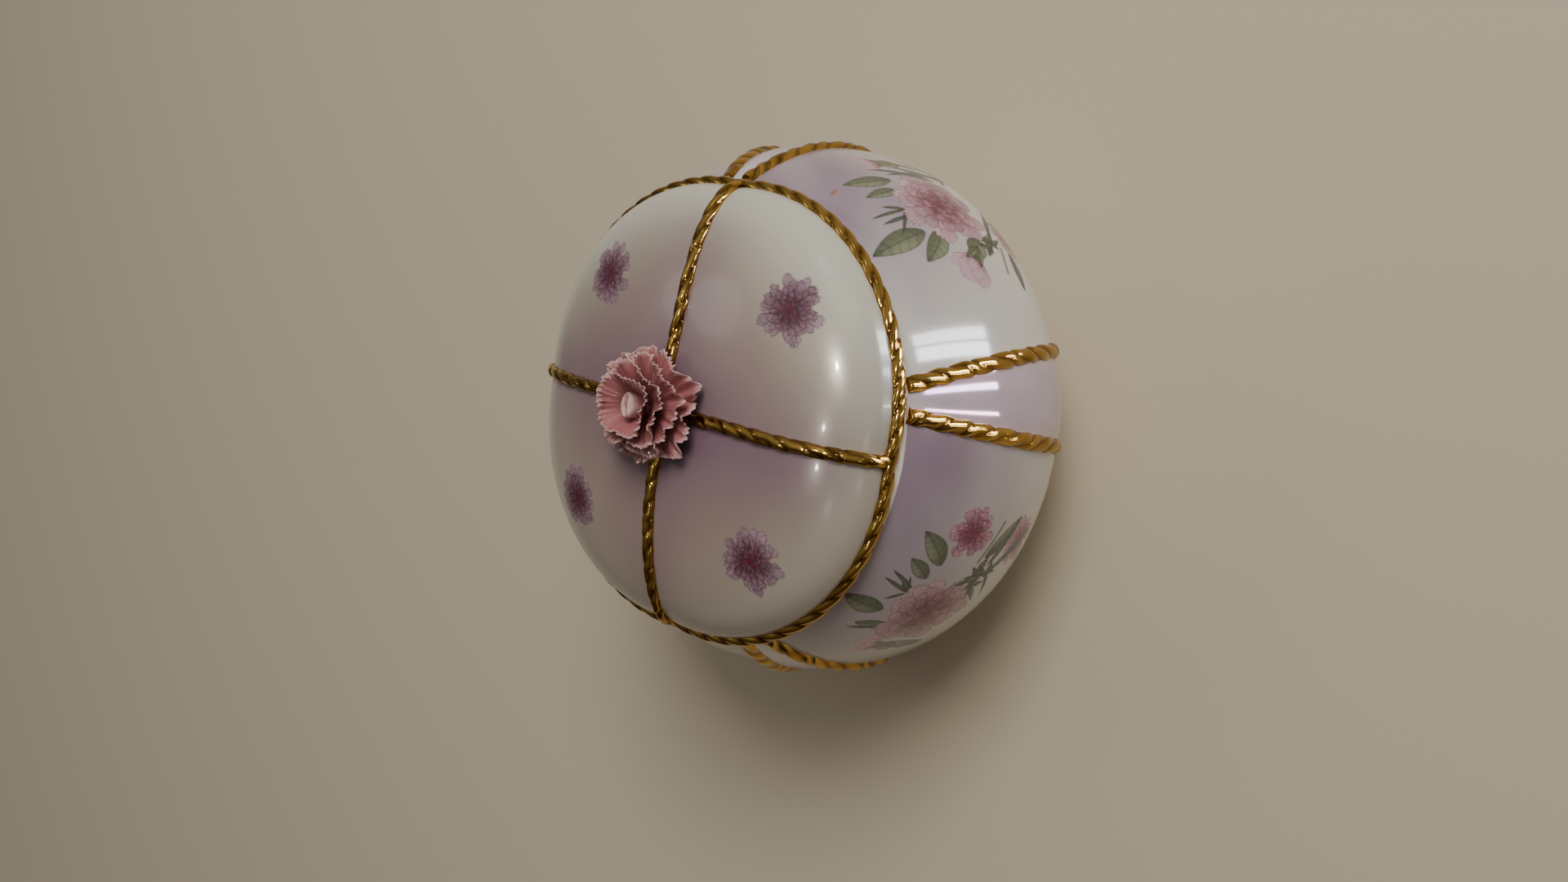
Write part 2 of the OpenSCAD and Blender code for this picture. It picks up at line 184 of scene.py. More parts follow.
def make_mesh(name, points, polys, paint, materials, body, nodes, poly_material=None):
    mesh = bpy.data.meshes.new(name)
    loops = np.concatenate([p.ravel() for p in polys]).astype(np.int32)
    sides = np.concatenate([np.full(len(p), p.shape[1]) for p in polys])
    mesh.vertices.add(len(points))
    mesh.vertices.foreach_set("co", (np.asarray(points) * MM).astype(np.float32).ravel())
    mesh.loops.add(len(loops))
    mesh.loops.foreach_set("vertex_index", loops)
    mesh.polygons.add(len(sides))
    mesh.polygons.foreach_set("loop_start", (np.cumsum(sides) - sides).astype(np.int32))
    mesh.polygons.foreach_set("use_smooth", np.ones(len(sides), bool))
    for m in materials:
        mesh.materials.append(m)
    if poly_material is not None:
        mesh.polygons.foreach_set("material_index", poly_material.astype(np.int32))
    mesh.update(calc_edges=True)
    layer = mesh.color_attributes.new("paint", "FLOAT_COLOR", "POINT")
    rgba = np.ones((len(points), 4), np.float32)
    rgba[:, :3] = np.clip(paint, 0, 1)
    layer.data.foreach_set("color", rgba.ravel())
    mesh.validate()
    obj = place(name, mesh)
    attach(obj, body)
    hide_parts(*nodes)


def revolve(ring, azimuths):
    a = np.radians(azimuths)
    r, z = ring[:, :1], np.repeat(ring[:, 1:2], len(a), 1)
    return np.stack([r * np.cos(a), r * np.sin(a), z], -1)


def lathe(profile, azimuths, centre=(0, 0)):
    """Closed solid of revolution. The profile starts and ends on the axis, and azimuths go once round."""
    grid = revolve(np.asarray(profile)[1:-1], azimuths)
    points, polys = capped(grid, [0, 0, profile[0][1]], [0, 0, profile[-1][1]])
    points[:, :2] += centre
    return points, polys


def lathe_ring(profile, azimuths):
    """Closed ring of revolution, from a closed profile that doesn't touch the axis."""
    return looped(revolve(np.asarray(profile), azimuths))


def rounded(points, rounds=2, closed=False):
    """Corner cutting, with the end points kept."""
    p = np.asarray(points, float)
    for _ in range(rounds):
        q = np.roll(p, -1, 0) if closed else p[1:]
        a = p if closed else p[:-1]
        cut = np.stack([0.75 * a + 0.25 * q, 0.25 * a + 0.75 * q], 1).reshape(-1, 2)
        p = cut if closed else np.concatenate([p[:1], cut[1:-1], p[-1:]])
    return p


# ---- painting on vertices
class Canvas:
    """Colours of the vertices of one surface, with flat drawing coordinates x and y in millimetres."""

    def __init__(self, x, y, colours):
        self.x, self.y, self.colours = x, y, colours

    def near(self, cx, cy, radius):
        return np.flatnonzero((np.abs(self.x - cx) < radius) & (np.abs(self.y - cy) < radius))

    def blend(self, at, colour, alpha):
        self.colours[at] = mix(self.colours[at], colour, np.clip(alpha, 0, 1))


def draw_petal(canvas, base, angle, length, spread, tones, rng, fill=1.0, line=0.6):
    """One frilled petal: a wedge with a toothed edge, fine veins and an outline."""
    middle = np.array(base) + 0.5 * length * towards(angle)
    at = canvas.near(*middle, 0.75 * length + 0.3)
    dx, dy = canvas.x[at] - base[0], canvas.y[at] - base[1]
    rho = np.hypot(dx, dy)
    phi = (np.arctan2(dy, dx) - angle + math.pi) % (2 * math.pi) - math.pi
    q = phi / spread
    teeth, phase = rng.integers(4, 7), rng.uniform(0, 6)
    saw = np.abs(((q * teeth + phase) % 2) - 1)
    edge = length * (1 - 0.2 * q**2 + 0.07 * saw + 0.03 * np.sin(q * 3 + phase))
    inside = smooth(edge - rho, -0.05, 0.18) * smooth((1 - np.abs(q)) * spread * rho, 0, 0.15)
    t = np.clip(rho / edge, 0, 1)
    vein_count = rng.uniform(3.5, 5.5)
    veins = (0.5 + 0.5 * np.cos(2 * math.pi * vein_count * q + 0.6 * np.sin(5 * t + phase))) ** 3
    to_side = (1 - np.abs(q)) * spread * rho
    outline = np.exp(-(((edge - rho) - 0.10) / 0.15) ** 2) + np.exp(-((to_side - 0.10) / 0.16) ** 2)
    lines = np.clip(line * (veins * (1.0 - 0.55 * t) + 0.7 * outline), 0, 1)
    body = mix(mix(tones["deep"], tones["mid"], smooth(t, 0.0, 0.45)), tones["pale"], smooth(t, 0.35, 0.85))
    colour = mix(body, tones["line"], lines)
    canvas.blend(at, colour, inside * (fill + (1 - fill) * lines))


# layers of a drawn carnation, from the outside: number of petals, their start and length as shares of
# the flower's radius, and half their spread in radians
CARNATION_LAYERS = [
    (11, 0.20, 0.80, 0.42), (10, 0.20, 0.64, 0.40), (8, 0.18, 0.52, 0.42),
    (7, 0.14, 0.40, 0.48), (5, 0.08, 0.32, 0.56), (4, 0.0, 0.24, 0.7),
]


def draw_carnation(canvas, cx, cy, radius, tones, seed, fill=1.0, line=0.6, squash=1.0, fine=1.2):
    """Full flower. `fill` and `line` are the strength of its ground and lines, `fine` makes more petals."""
    rng = np.random.default_rng(seed)
    at = canvas.near(cx, cy, radius)
    d = np.hypot(canvas.x[at] - cx, (canvas.y[at] - cy) / squash) / radius
    canvas.blend(at, mix(tones["deep"], tones["mid"], smooth(d, 0.1, 0.6)), smooth(0.72 - d, 0, 0.12))
    for depth, (count, start, reach, spread) in enumerate(CARNATION_LAYERS):
        count, spread = int(round(count * fine)), spread / fine
        offset = rng.uniform(0, 2 * math.pi)
        for k in rng.permutation(count):
            a = offset + 2 * math.pi * (k + rng.uniform(-0.18, 0.18)) / count
            base = (cx + radius * start * math.cos(a), cy + radius * start * squash * math.sin(a))
            length = radius * reach * rng.uniform(0.84, 1.1) * (1 - (1 - squash) * abs(math.sin(a)))
            shade = 1 - 0.06 * depth + rng.uniform(-0.18, 0.14)
            local = {key: np.clip(np.array(value) * shade, 0, 1) for key, value in tones.items()}
            local["pale"] = mix(local["pale"], local["mid"], min(0.75, 0.16 * depth))
            local["mid"] = mix(local["mid"], local["deep"], min(0.6, 0.13 * depth))
            angle = a + rng.uniform(-0.4, 0.4)
            draw_petal(canvas, base, angle, length, spread * rng.uniform(0.85, 1.15), local, rng, fill, line)
    at = canvas.near(cx, cy, 0.3 * radius)
    d = np.hypot(canvas.x[at] - cx, canvas.y[at] - cy)
    flecks = 0.5 + 0.5 * np.sin(9 * d + 3 * canvas.x[at])
    canvas.blend(at, tones["heart"], 0.7 * smooth(0.2 * radius - d, 0, 0.2 * radius) * flecks)


def draw_bud(canvas, cx, cy, radius, angle, tones, green, seed):
    """A half-open flower seen from the side, with its green cup at the back."""
    rng = np.random.default_rng(seed)
    way = towards(angle)
    base = np.array([cx, cy]) - radius * 0.85 * way
    for reach, offsets in ((1.9, (-0.5, 0.5, 0.0)), (1.55, (-0.28, 0.26)), (1.2, (0.0,))):
        for o in offsets:
            length = radius * reach * rng.uniform(0.92, 1.06)
            draw_petal(canvas, base, angle + o, length, 0.36, tones, rng, 1.0, 0.7)
    draw_leaf(canvas, base - 1.1 * radius * way, base + 0.55 * radius * way, 1.25 * radius, green, seed)
    for o in (-0.55, 0.5):
        tip = base + 0.9 * radius * towards(angle + o)
        draw_leaf(canvas, base - 0.5 * radius * way, tip, 0.5 * radius, green, seed + 3)


def draw_leaf(canvas, base, tip, width, tones, seed):
    """One pointed leaf, slightly bent, with a midrib, side veins and an outline."""
    rng = np.random.default_rng(seed)
    base, tip = np.array(base, float), np.array(tip, float)
    length = np.linalg.norm(tip - base)
    way = (tip - base) / length
    at = canvas.near(*(base + tip) / 2, length / 2 + width)
    dx, dy = canvas.x[at] - base[0], canvas.y[at] - base[1]
    along = (dx * way[0] + dy * way[1]) / length
    t = np.clip(along, 0, 1)
    across = -dx * way[1] + dy * way[0] - rng.uniform(-0.12, 0.12) * width * np.sin(math.pi * t)
    half = 0.5 * width * np.sin(math.pi * t**0.85) ** 0.8
    inside = smooth(half - np.abs(across), -0.05, 0.14)
    inside = inside * smooth(along, -0.01, 0.03) * smooth(1 - along, -0.01, 0.02)
    midrib = np.exp(-((across / 0.16) ** 2))
    side = (0.5 + 0.5 * np.cos(2 * math.pi * (6 * t - 1.6 * np.abs(across) / max(width, 0.1)))) ** 4
    outline = np.exp(-(((half - np.abs(across)) - 0.12) / 0.14) ** 2)
    body = mix(tones["light"], tones["mid"], smooth(across / max(width, 0.1), -0.35, 0.3))
    body = mix(body, tones["dark"], 0.55 * smooth(0.45 - t, 0, 0.45) + 0.6 * smooth(t, 0.78, 1.0))
    colour = mix(body, tones["dark"], np.clip(0.6 * midrib + 0.28 * side + 0.75 * outline, 0, 1))
    canvas.blend(at, colour, inside * 0.96)


def draw_leaves(canvas, leaves, tones, seed, step=0):
    """Leaves given as base, tip and width. Each one's seed is `step` more than the last."""
    for k, leaf in enumerate(leaves):
        draw_leaf(canvas, *leaf, tones, seed + step * k)


def draw_stroke(canvas, points, width, colour, alpha=0.95):
    for p, q in zip(points[:-1], points[1:]):
        p, q = np.array(p, float), np.array(q, float)
        at = canvas.near(*(p + q) / 2, np.linalg.norm(q - p) / 2 + width + 0.3)
        d = q - p
        rel = np.stack([canvas.x[at] - p[0], canvas.y[at] - p[1]], -1)
        t = np.clip((rel @ d) / (d @ d), 0, 1)
        gap = np.linalg.norm(rel - t[:, None] * d, axis=-1)
        canvas.blend(at, colour, alpha * smooth(width / 2 - gap, -0.12, 0.1))


# ---- colours
GLAZE_WHITE = [0.74, 0.74, 0.69]
LILAC = [0.28, 0.21, 0.275]
LID_CREAM = [0.56, 0.535, 0.44]
LID_BEIGE = [0.35, 0.27, 0.215]
LID_LILAC = [0.20, 0.125, 0.165]
BISQUE = [0.78, 0.75, 0.69]
FLECK = [0.30, 0.13, 0.05]
LUSTRE_LILAC, LUSTRE_PINK, LUSTRE_WHITE = [0.56, 0.47, 0.60], [0.60, 0.47, 0.56], [0.66, 0.64, 0.66]
LID_RIM = [0.58, 0.59, 0.52]
GOLD_BRIGHT = [0.50, 0.31, 0.075]
GOLD_BROWN = [0.10, 0.028, 0.005]
PINK = {
    "pale": [0.60, 0.40, 0.47], "mid": [0.38, 0.14, 0.22], "deep": [0.20, 0.03, 0.07],
    "line": [0.13, 0.02, 0.05], "heart": [0.14, 0.012, 0.035],
}
FADED_PINK = {
    "pale": [0.60, 0.43, 0.50], "mid": [0.46, 0.23, 0.32], "deep": [0.33, 0.10, 0.17],
    "line": [0.24, 0.055, 0.12], "heart": [0.22, 0.03, 0.08],
}
ROSE = {
    "pale": [0.55, 0.31, 0.41], "mid": [0.36, 0.10, 0.19], "deep": [0.22, 0.025, 0.07],
    "line": [0.15, 0.015, 0.05], "heart": [0.14, 0.01, 0.03],
}
MAGENTA = {
    "pale": [0.33, 0.225, 0.27], "mid": [0.20, 0.085, 0.125], "deep": [0.13, 0.020, 0.042],
    "line": [0.055, 0.010, 0.028], "heart": [0.10, 0.008, 0.02],
}
GREEN = {"light": [0.21, 0.235, 0.15], "mid": [0.095, 0.12, 0.07], "dark": [0.022, 0.03, 0.02]}
BLUE_GREEN = {"light": [0.15, 0.20, 0.19], "mid": [0.06, 0.09, 0.09], "dark": [0.015, 0.024, 0.03]}
BUD_SIDE, BUD_TOP, BUD_FOLD = [0.36, 0.14, 0.14], [0.60, 0.43, 0.41], [0.34, 0.13, 0.135]
PETAL = {"deep": [0.17, 0.035, 0.04], "mid": [0.35, 0.115, 0.12], "pale": [0.64, 0.42, 0.41]}


# ---- materials
def fill_in(node, values):
    for socket, value in values.items():
        node.inputs[socket].default_value = value


def on_object(tree, kind, values):
    """Texture node that follows the object's own coordinates."""
    texture = tree.nodes.new(kind)
    fill_in(texture, values)
    coords = tree.nodes.new("ShaderNodeTexCoord")
    tree.links.new(coords.outputs["Object"], texture.inputs["Vector"])
    return texture.outputs


def map_range(tree, value, low, high, to_low, to_high):
    node = tree.nodes.new("ShaderNodeMapRange")
    fill_in(node, {"From Min": low, "From Max": high, "To Min": to_low, "To Max": to_high})
    tree.links.new(value, node.inputs["Value"])
    return node.outputs["Result"]


FILM_IOR = 1.9
SPECK_SCALE, SPECK_TONE = 95, (0.45, 0.38, 0.36, 1)


def add_specks(tree, colour, size):
    cells = on_object(tree, "ShaderNodeTexVoronoi", {"Scale": SPECK_SCALE})
    speck = tree.nodes.new("ShaderNodeMixRGB")
    speck.blend_type = "MULTIPLY"
    speck.inputs["Color2"].default_value = SPECK_TONE
    near = map_range(tree, cells["Distance"], size, size * 0.6, 0, 1)
    tree.links.new(near, speck.inputs["Fac"])
    tree.links.new(colour, speck.inputs["Color1"])
    return speck.outputs["Color"]


def painted_material(
    name, rough, grain, bump, metallic=0.0, coat=0.0, coat_rough=0.03, mottle=0.04, ior=1.5, film=0, spots=0
):
    """Surface coloured by the paint layer, with fine mottling, uneven gloss and a light bump.

    rough: lowest and highest roughness; grain: scales of the mottling and of the bump; bump: its strength
    and its height in mm; film: thickness of a lustre film in nm; spots: size of the dark specks.
    """
    material = bpy.data.materials.new(name)
    material.use_nodes = True
    tree = material.node_tree
    surface = tree.nodes["Principled BSDF"]
    paint = tree.nodes.new("ShaderNodeVertexColor")
    paint.layer_name = "paint"
    patches = on_object(tree, "ShaderNodeTexNoise", {"Scale": grain[0], "Detail": 4})["Fac"]
    fine = on_object(tree, "ShaderNodeTexNoise", {"Scale": grain[1], "Detail": 3})["Fac"]
    link = tree.links.new
    tone = tree.nodes.new("ShaderNodeHueSaturation")
    link(paint.outputs["Color"], tone.inputs["Color"])
    link(map_range(tree, patches, 0.3, 0.7, 1 - mottle, 1 + mottle), tone.inputs["Value"])
    colour = tone.outputs["Color"]
    link(add_specks(tree, colour, spots) if spots else colour, surface.inputs["Base Color"])
    link(map_range(tree, patches, 0.3, 0.7, *rough), surface.inputs["Roughness"])
    relief = tree.nodes.new("ShaderNodeBump")
    fill_in(relief, {"Strength": bump[0], "Distance": bump[1] * MM})
    link(fine, relief.inputs["Height"])
    link(relief.outputs["Normal"], surface.inputs["Normal"])
    surface.inputs["Metallic"].default_value = metallic
    surface.inputs["IOR"].default_value = ior
    surface.inputs["Coat Weight"].default_value = coat
    surface.inputs["Coat Roughness"].default_value = coat_rough
    if film:
        surface.inputs["Thin Film Thickness"].default_value = film
        surface.inputs["Thin Film IOR"].default_value = FILM_IOR
    return material


glaze = painted_material("bowl glaze", (0.10, 0.16), (70, 420), (0.12, 0.05), coat=0.4, mottle=0.02)
lid_glaze = painted_material(
    "lid glaze", (0.20, 0.28), (60, 420), (0.14, 0.05), coat=0.30, coat_rough=0.07, mottle=0.03, spots=0.012
)
bisque = painted_material("bare porcelain", (0.55, 0.7), (150, 1500), (0.35, 0.08), mottle=0.05)
lustre = painted_material(
    "lustre glaze", (0.07, 0.11), (60, 300), (0.1, 0.05),
    coat=0.6, coat_rough=0.02, mottle=0.03, ior=1.7, film=420,
)
gilding = painted_material("gilding", (0.07, 0.16), (260, 900), (0.3, 0.06), metallic=1.0, mottle=0.12)
petal_glaze = painted_material(
    "petal glaze", (0.12, 0.20), (300, 1400), (0.35, 0.07), coat=0.8, coat_rough=0.04, mottle=0.08
)
bud_glaze = painted_material(
    "bud glaze", (0.14, 0.22), (300, 1200), (0.3, 0.06), coat=0.5, coat_rough=0.05, mottle=0.05
)


# ---- bowl
DECAL_STEP = 0.2  # distance of vertices where there are bouquets
PANELS = [-131.6, -49.6, 41.4, 136.6]  # azimuths of the middles of the four painted panels
PANEL_HALF = 30.0  # half-width of the part of a panel that is painted, in degrees
BOUQUET_DEPTH = 37  # how far below the lip the bouquets reach
MM_PER_DEGREE = 0.82  # width on a panel of one degree of azimuth
NOT_OUTSIDE = 60.0  # depth given to what isn't on the outside


def bowl_outer_heights():
    """Heights from heel to lip, close together where the bouquets are."""
    z = np.linspace(FOOT_H, BOWL_H - LIP_ROUND, 8001)
    r = bowl_r(z)
    arc = np.concatenate([[0], np.cumsum(np.hypot(np.diff(z), np.diff(r)))])
    total = arc[-1]
    plain = total - BOUQUET_DEPTH
    marks = np.concatenate([spaced([(0, plain, 1.0), (plain, total, DECAL_STEP)]), [total]])
    return np.interp(marks, arc, z), total - marks


def gusset_azimuth(centre, slant, z):
    """Azimuth of the middle of a gusset at height z, in degrees."""
    across = math.tan(math.radians(slant)) * (z - BELLY_Z)
    return centre + GUSSET_TURN - np.degrees(across / LIP_R)


def bowl_section(outer):
    """Half section from the axis under the foot, up the outside, over the lip and down the inside."""
    ring_r = FOOT_R - FOOT_W
    under = rounded([
        [0, FOOT_H - 0.4], [ring_r - 4, FOOT_H - 0.7], [ring_r - 0.9, 1.2], [ring_r, 0.05], [ring_r + 0.4, 0],
        [FOOT_R - 0.4, 0], [FOOT_R, 0.05], [FOOT_R + 0.6, 0.7], [HEEL_R - 0.9, FOOT_H - 0.6], list(outer[0]),
    ], 3)
    lip = rounded([
        list(outer[-1]), [LIP_R + 0.05, BOWL_H - 0.3], [LIP_R - 0.5, BOWL_H], [MOUTH_R + 1.5, BOWL_H],
        [MOUTH_R + 0.3, BOWL_H], [MOUTH_R, BOWL_H - 0.3], [MOUTH_R, BOWL_H - 1.5],
        [MOUTH_R, BOWL_H - LIP_DEPTH], [MOUTH_R + 0.8, BOWL_H - LIP_DEPTH - 1.2],
    ], 3)
    z = np.linspace(BOWL_H - LIP_DEPTH - 4, FOOT_H + WALL + 0.4, 60)
    inner = np.stack([bowl_r(z + 0.6) - WALL, z], -1)
    inner = inner[inner[:, 0] > 20]
    floor_z = FOOT_H + WALL - 0.4
    bottom = rounded([list(inner[-1]), [HEEL_R - WALL - 4, floor_z + 0.25], [10, floor_z], [0, floor_z]], 3)
    profile = np.concatenate([under[:-1], outer[:-1], lip, inner, bottom[1:]])
    return profile, len(under) - 2


def lilac_ground(points, azimuth, depth):
    """Share of lilac on the outside: from the lip downwards, fuller on some sides than on others."""
    x, y, z = points.T
    share = np.zeros(len(points))
    gussets = ((LEFT, -GUSSET_SLANT), (FRONT, 0), (RIGHT, GUSSET_SLANT), (BACK, 0))
    past = [(azimuth - gusset_azimuth(centre, slant, z)) % 360 for centre, slant in gussets]
    for k, centre in enumerate(PANELS):
        rel = degrees_past(azimuth, centre)
        inside = (past[k] < 120) & (past[(k + 1) % 4] > 240)
        if k % 2 == 0:
            local = (0.66 + 0.34 * smooth(rel, -30, 34)) * (1 - smooth(depth, 4, 38)) ** 0.8
        else:
            local = (0.28 + 0.70 * smooth(rel, -34, 8)) * (1 - smooth(depth, 5, 34)) ** 0.75
        share = np.where(inside, local, share)
    cloud = 0.10 * soft_noise(x, y + 1.4 * z, 5, 26)
    return np.clip(share * (1 + cloud), 0, 1)


def make_bowl():
    heights, marks = bowl_outer_heights()
    outer = np.stack([bowl_r(heights), heights], -1)
    profile, first = bowl_section(outer)
    azimuths = azimuth_runs(PANELS, PANEL_HALF, math.degrees(DECAL_STEP / BODY_R), 1.2)
    points, polys = lathe(profile, azimuths)
    rows, cols = len(profile) - 2, len(azimuths)
    azimuth = np.degrees(np.arctan2(points[:, 1], points[:, 0]))
    block = slice(first * cols, (first + len(outer)) * cols)
    depth = np.full(len(points), NOT_OUTSIDE)
    depth[block] = np.repeat(marks, cols)
    outside = np.zeros(len(points), bool)
    outside[block] = True
    colours = np.tile(GLAZE_WHITE, (len(points), 1))
    colours = mix(colours, LILAC, np.where(outside, lilac_ground(points, azimuth, depth), 0))
    for k, centre in enumerate(PANELS):
        rel = degrees_past(azimuth, centre)
        at = np.flatnonzero((np.abs(rel) < PANEL_HALF + 2) & outside & (depth < 40))
        canvas = Canvas(rel[at] * MM_PER_DEGREE, depth[at], colours[at])
        (left_bouquet if k % 2 == 0 else right_bouquet)(canvas, 40 + 10 * k)
        if k == 1:
            draw_stroke(canvas, [(11.6, 4.2), (11.9, 5.2)], 0.7, FLECK, 0.85)
        colours[at] = canvas.colours
    radius = np.hypot(points[:, 0], points[:, 1])
    foot_ring = (radius > FOOT_R - FOOT_W - 0.5) & (radius < FOOT_R + 0.5) & (points[:, 2] < 0.35)
    colours[foot_ring] = BISQUE
    ring_rows = np.flatnonzero((profile[1:-1, 1] < 0.3) & (profile[1:-1, 0] > FOOT_R - FOOT_W - 0.4))
    quads = np.zeros((rows - 1, cols))
    quads[ring_rows.min() : ring_rows.max(), :] = 1
    bare = np.zeros(sum(len(p) for p in polys))
    bare[: (rows - 1) * cols] = quads.ravel()
    materials = [glaze, bisque]
    make_mesh("porcelain_bowl", points, polys, colours, materials, "base", ["base_bowl"], bare)


def left_bouquet(canvas, seed):
    """Big carnation with a smaller one to its right and a faded one below.

    In both bouquets x is across the panel and y is down from the lip.
    """
    draw_carnation(canvas, 9.5, 30.6, 5.2, FADED_PINK, seed + 1, 0.9, 0.7, 0.7)
    draw_leaf(canvas, (6.4, 22.6), (14.2, 28.4), 3.0, GREEN, seed)
    draw_stroke(canvas, [(5.5, 21.5), (9.5, 22.6), (13.2, 23.8)], 0.42, GREEN["mid"])
    draw_carnation(canvas, 10.9, 16.8, 4.7, ROSE, seed + 2, 1.0, 0.95)
    draw_leaves(canvas, [
        ((-11.0, 13.8), (-12.9, 6.8), 2.7), ((-7.6, 9.2), (-7.4, 0.6), 4.4),
        ((1.2, 12.4), (4.6, 7.2), 3.0), ((4.2, 13.6), (10.2, 7.3), 3.9),
    ], GREEN, seed + 3, 1)
    sprig = (-2.6, 10.6)
    draw_leaves(canvas, [
        (sprig, (-5.4, 7.4), 0.8), (sprig, (-0.6, 4.6), 1.0),
        (sprig, (-0.6, 8.2), 0.8), (sprig, (1.2, 9.0), 0.7),
    ], GREEN, seed + 7)
    draw_bud(canvas, -17.6, 15.4, 3.0, -math.pi / 2 - 0.15, FADED_PINK, GREEN, seed + 8)
    draw_leaf(canvas, (-15.6, 26.5), (-17.4, 18.5), 2.0, BLUE_GREEN, seed + 9)
    draw_leaf(canvas, (-14.8, 27.0), (-15.4, 18.0), 1.4, BLUE_GREEN, seed + 10)
    draw_carnation(canvas, -6.4, 18.4, 9.0, PINK, seed, 1.0, 0.85)
    dark_knot(canvas, seed, [
        (0.6, 19.5), (1.4, 26.2), (4.4, 21.2), (-2.4, 24.6),
        (6.8, 23.6), (-3.0, 27.4), (3.2, 24.6), (-0.4, 22.4),
    ])
    knot = [(2.2, 20.6), (3.6, 27.6), (5.6, 25.4), (-1.4, 28.6), (0.4, 24.0), (4.8, 22.8)]
    dark_knot(canvas, seed + 31, knot)
    draw_leaves(canvas, [
        ((3.0, 25.6), (12.6, 33.4), 1.5), ((4.6, 24.4), (12.0, 27.6), 1.3),
        ((-12.2, 11.4), (-14.8, 6.4), 1.0), ((-1.4, 11.0), (1.4, 5.2), 1.0),
    ], BLUE_GREEN, seed + 33)


def right_bouquet(canvas, seed):
    """Big carnation with buds on both sides and long blue-green leaves."""
    draw_carnation(canvas, -5.0, 34.0, 5.6, FADED_PINK, seed + 1, 0.9, 0.7, 0.7)
    draw_leaves(canvas, [
        ((-3.4, 13.2), (-5.4, 1.2), 4.8), ((-3.6, 16.8), (-9.4, 9.9), 4.0),
        ((9.9, 16.8), (12.5, 7.4), 3.6), ((6.6, 15.6), (7.3, 8.3), 2.7),
    ], GREEN, seed + 2, 1)
    sprig = (2.0, 13.0)
    draw_leaves(canvas, [
        (sprig, (2.2, 5.4), 0.9), (sprig, (4.1, 9.0), 0.9),
        (sprig, (-1.3, 10.2), 0.9), (sprig, (-3.2, 8.6), 0.8),
    ], GREEN, seed + 6)
    draw_leaves(canvas, [
        ((10.0, 32.5), (11.7, 17.0), 1.7), ((8.6, 31.5), (14.2, 20.5), 1.5),
        ((8.8, 32.5), (19.0, 25.5), 1.8), ((12.5, 29.0), (17.5, 19.0), 1.3),
    ], BLUE_GREEN, seed + 7)
    draw_bud(canvas, 16.4, 18.6, 3.1, -math.pi / 2 + 0.25, PINK, GREEN, seed + 8)
    draw_carnation(canvas, 1.6, 21.2, 9.0, PINK, seed, 1.0, 0.85)
    draw_bud(canvas, -11.0, 19.2, 3.5, -math.pi / 2 - 0.75, FADED_PINK, GREEN, seed + 9)
    dark_knot(canvas, seed, [(-7.4, 23.6), (-5.6, 27.0), (-9.0, 26.2), (-6.2, 30.2)])
    dark_knot(canvas, seed + 31, [(-6.6, 25.0), (-8.2, 28.6), (-4.6, 29.2), (-9.6, 24.4), (-7.0, 27.4)])
    draw_leaves(canvas, [
        ((-5.6, 28.0), (1.4, 33.6), 1.4), ((8.4, 27.6), (14.6, 15.2), 1.4),
        ((7.6, 29.0), (12.8, 33.4), 1.3), ((0.6, 12.4), (0.2, 6.6), 1.0),
    ], BLUE_GREEN, seed + 33)
    draw_stroke(canvas, [(-7.8, 29.6), (-10.2, 28.4), (-12.9, 27.4)], 0.45, GREEN["mid"])
    draw_leaf(canvas, (-8.4, 31.6), (-16.2, 30.6), 2.2, BLUE_GREEN, seed + 10)


def dark_knot(canvas, seed, tips):
    """Short dark leaves crowded together where the stems meet."""
    rng = np.random.default_rng(seed + 77)
    centre = np.mean(tips, 0)
    for k, tip in enumerate(tips):
        base = centre + rng.uniform(-1.2, 1.2, 2)
        draw_leaf(canvas, base, tip, rng.uniform(0.9, 1.6), BLUE_GREEN if k % 2 else GREEN, seed + 20 + k)
        draw_stroke(canvas, [base, (base + tip) / 2 + rng.uniform(-0.8, 0.8, 2), tip], 0.35, GREEN["dark"])


# ---- gussets
GUSSET_DEPTH = 1.1  # thickness of a gusset


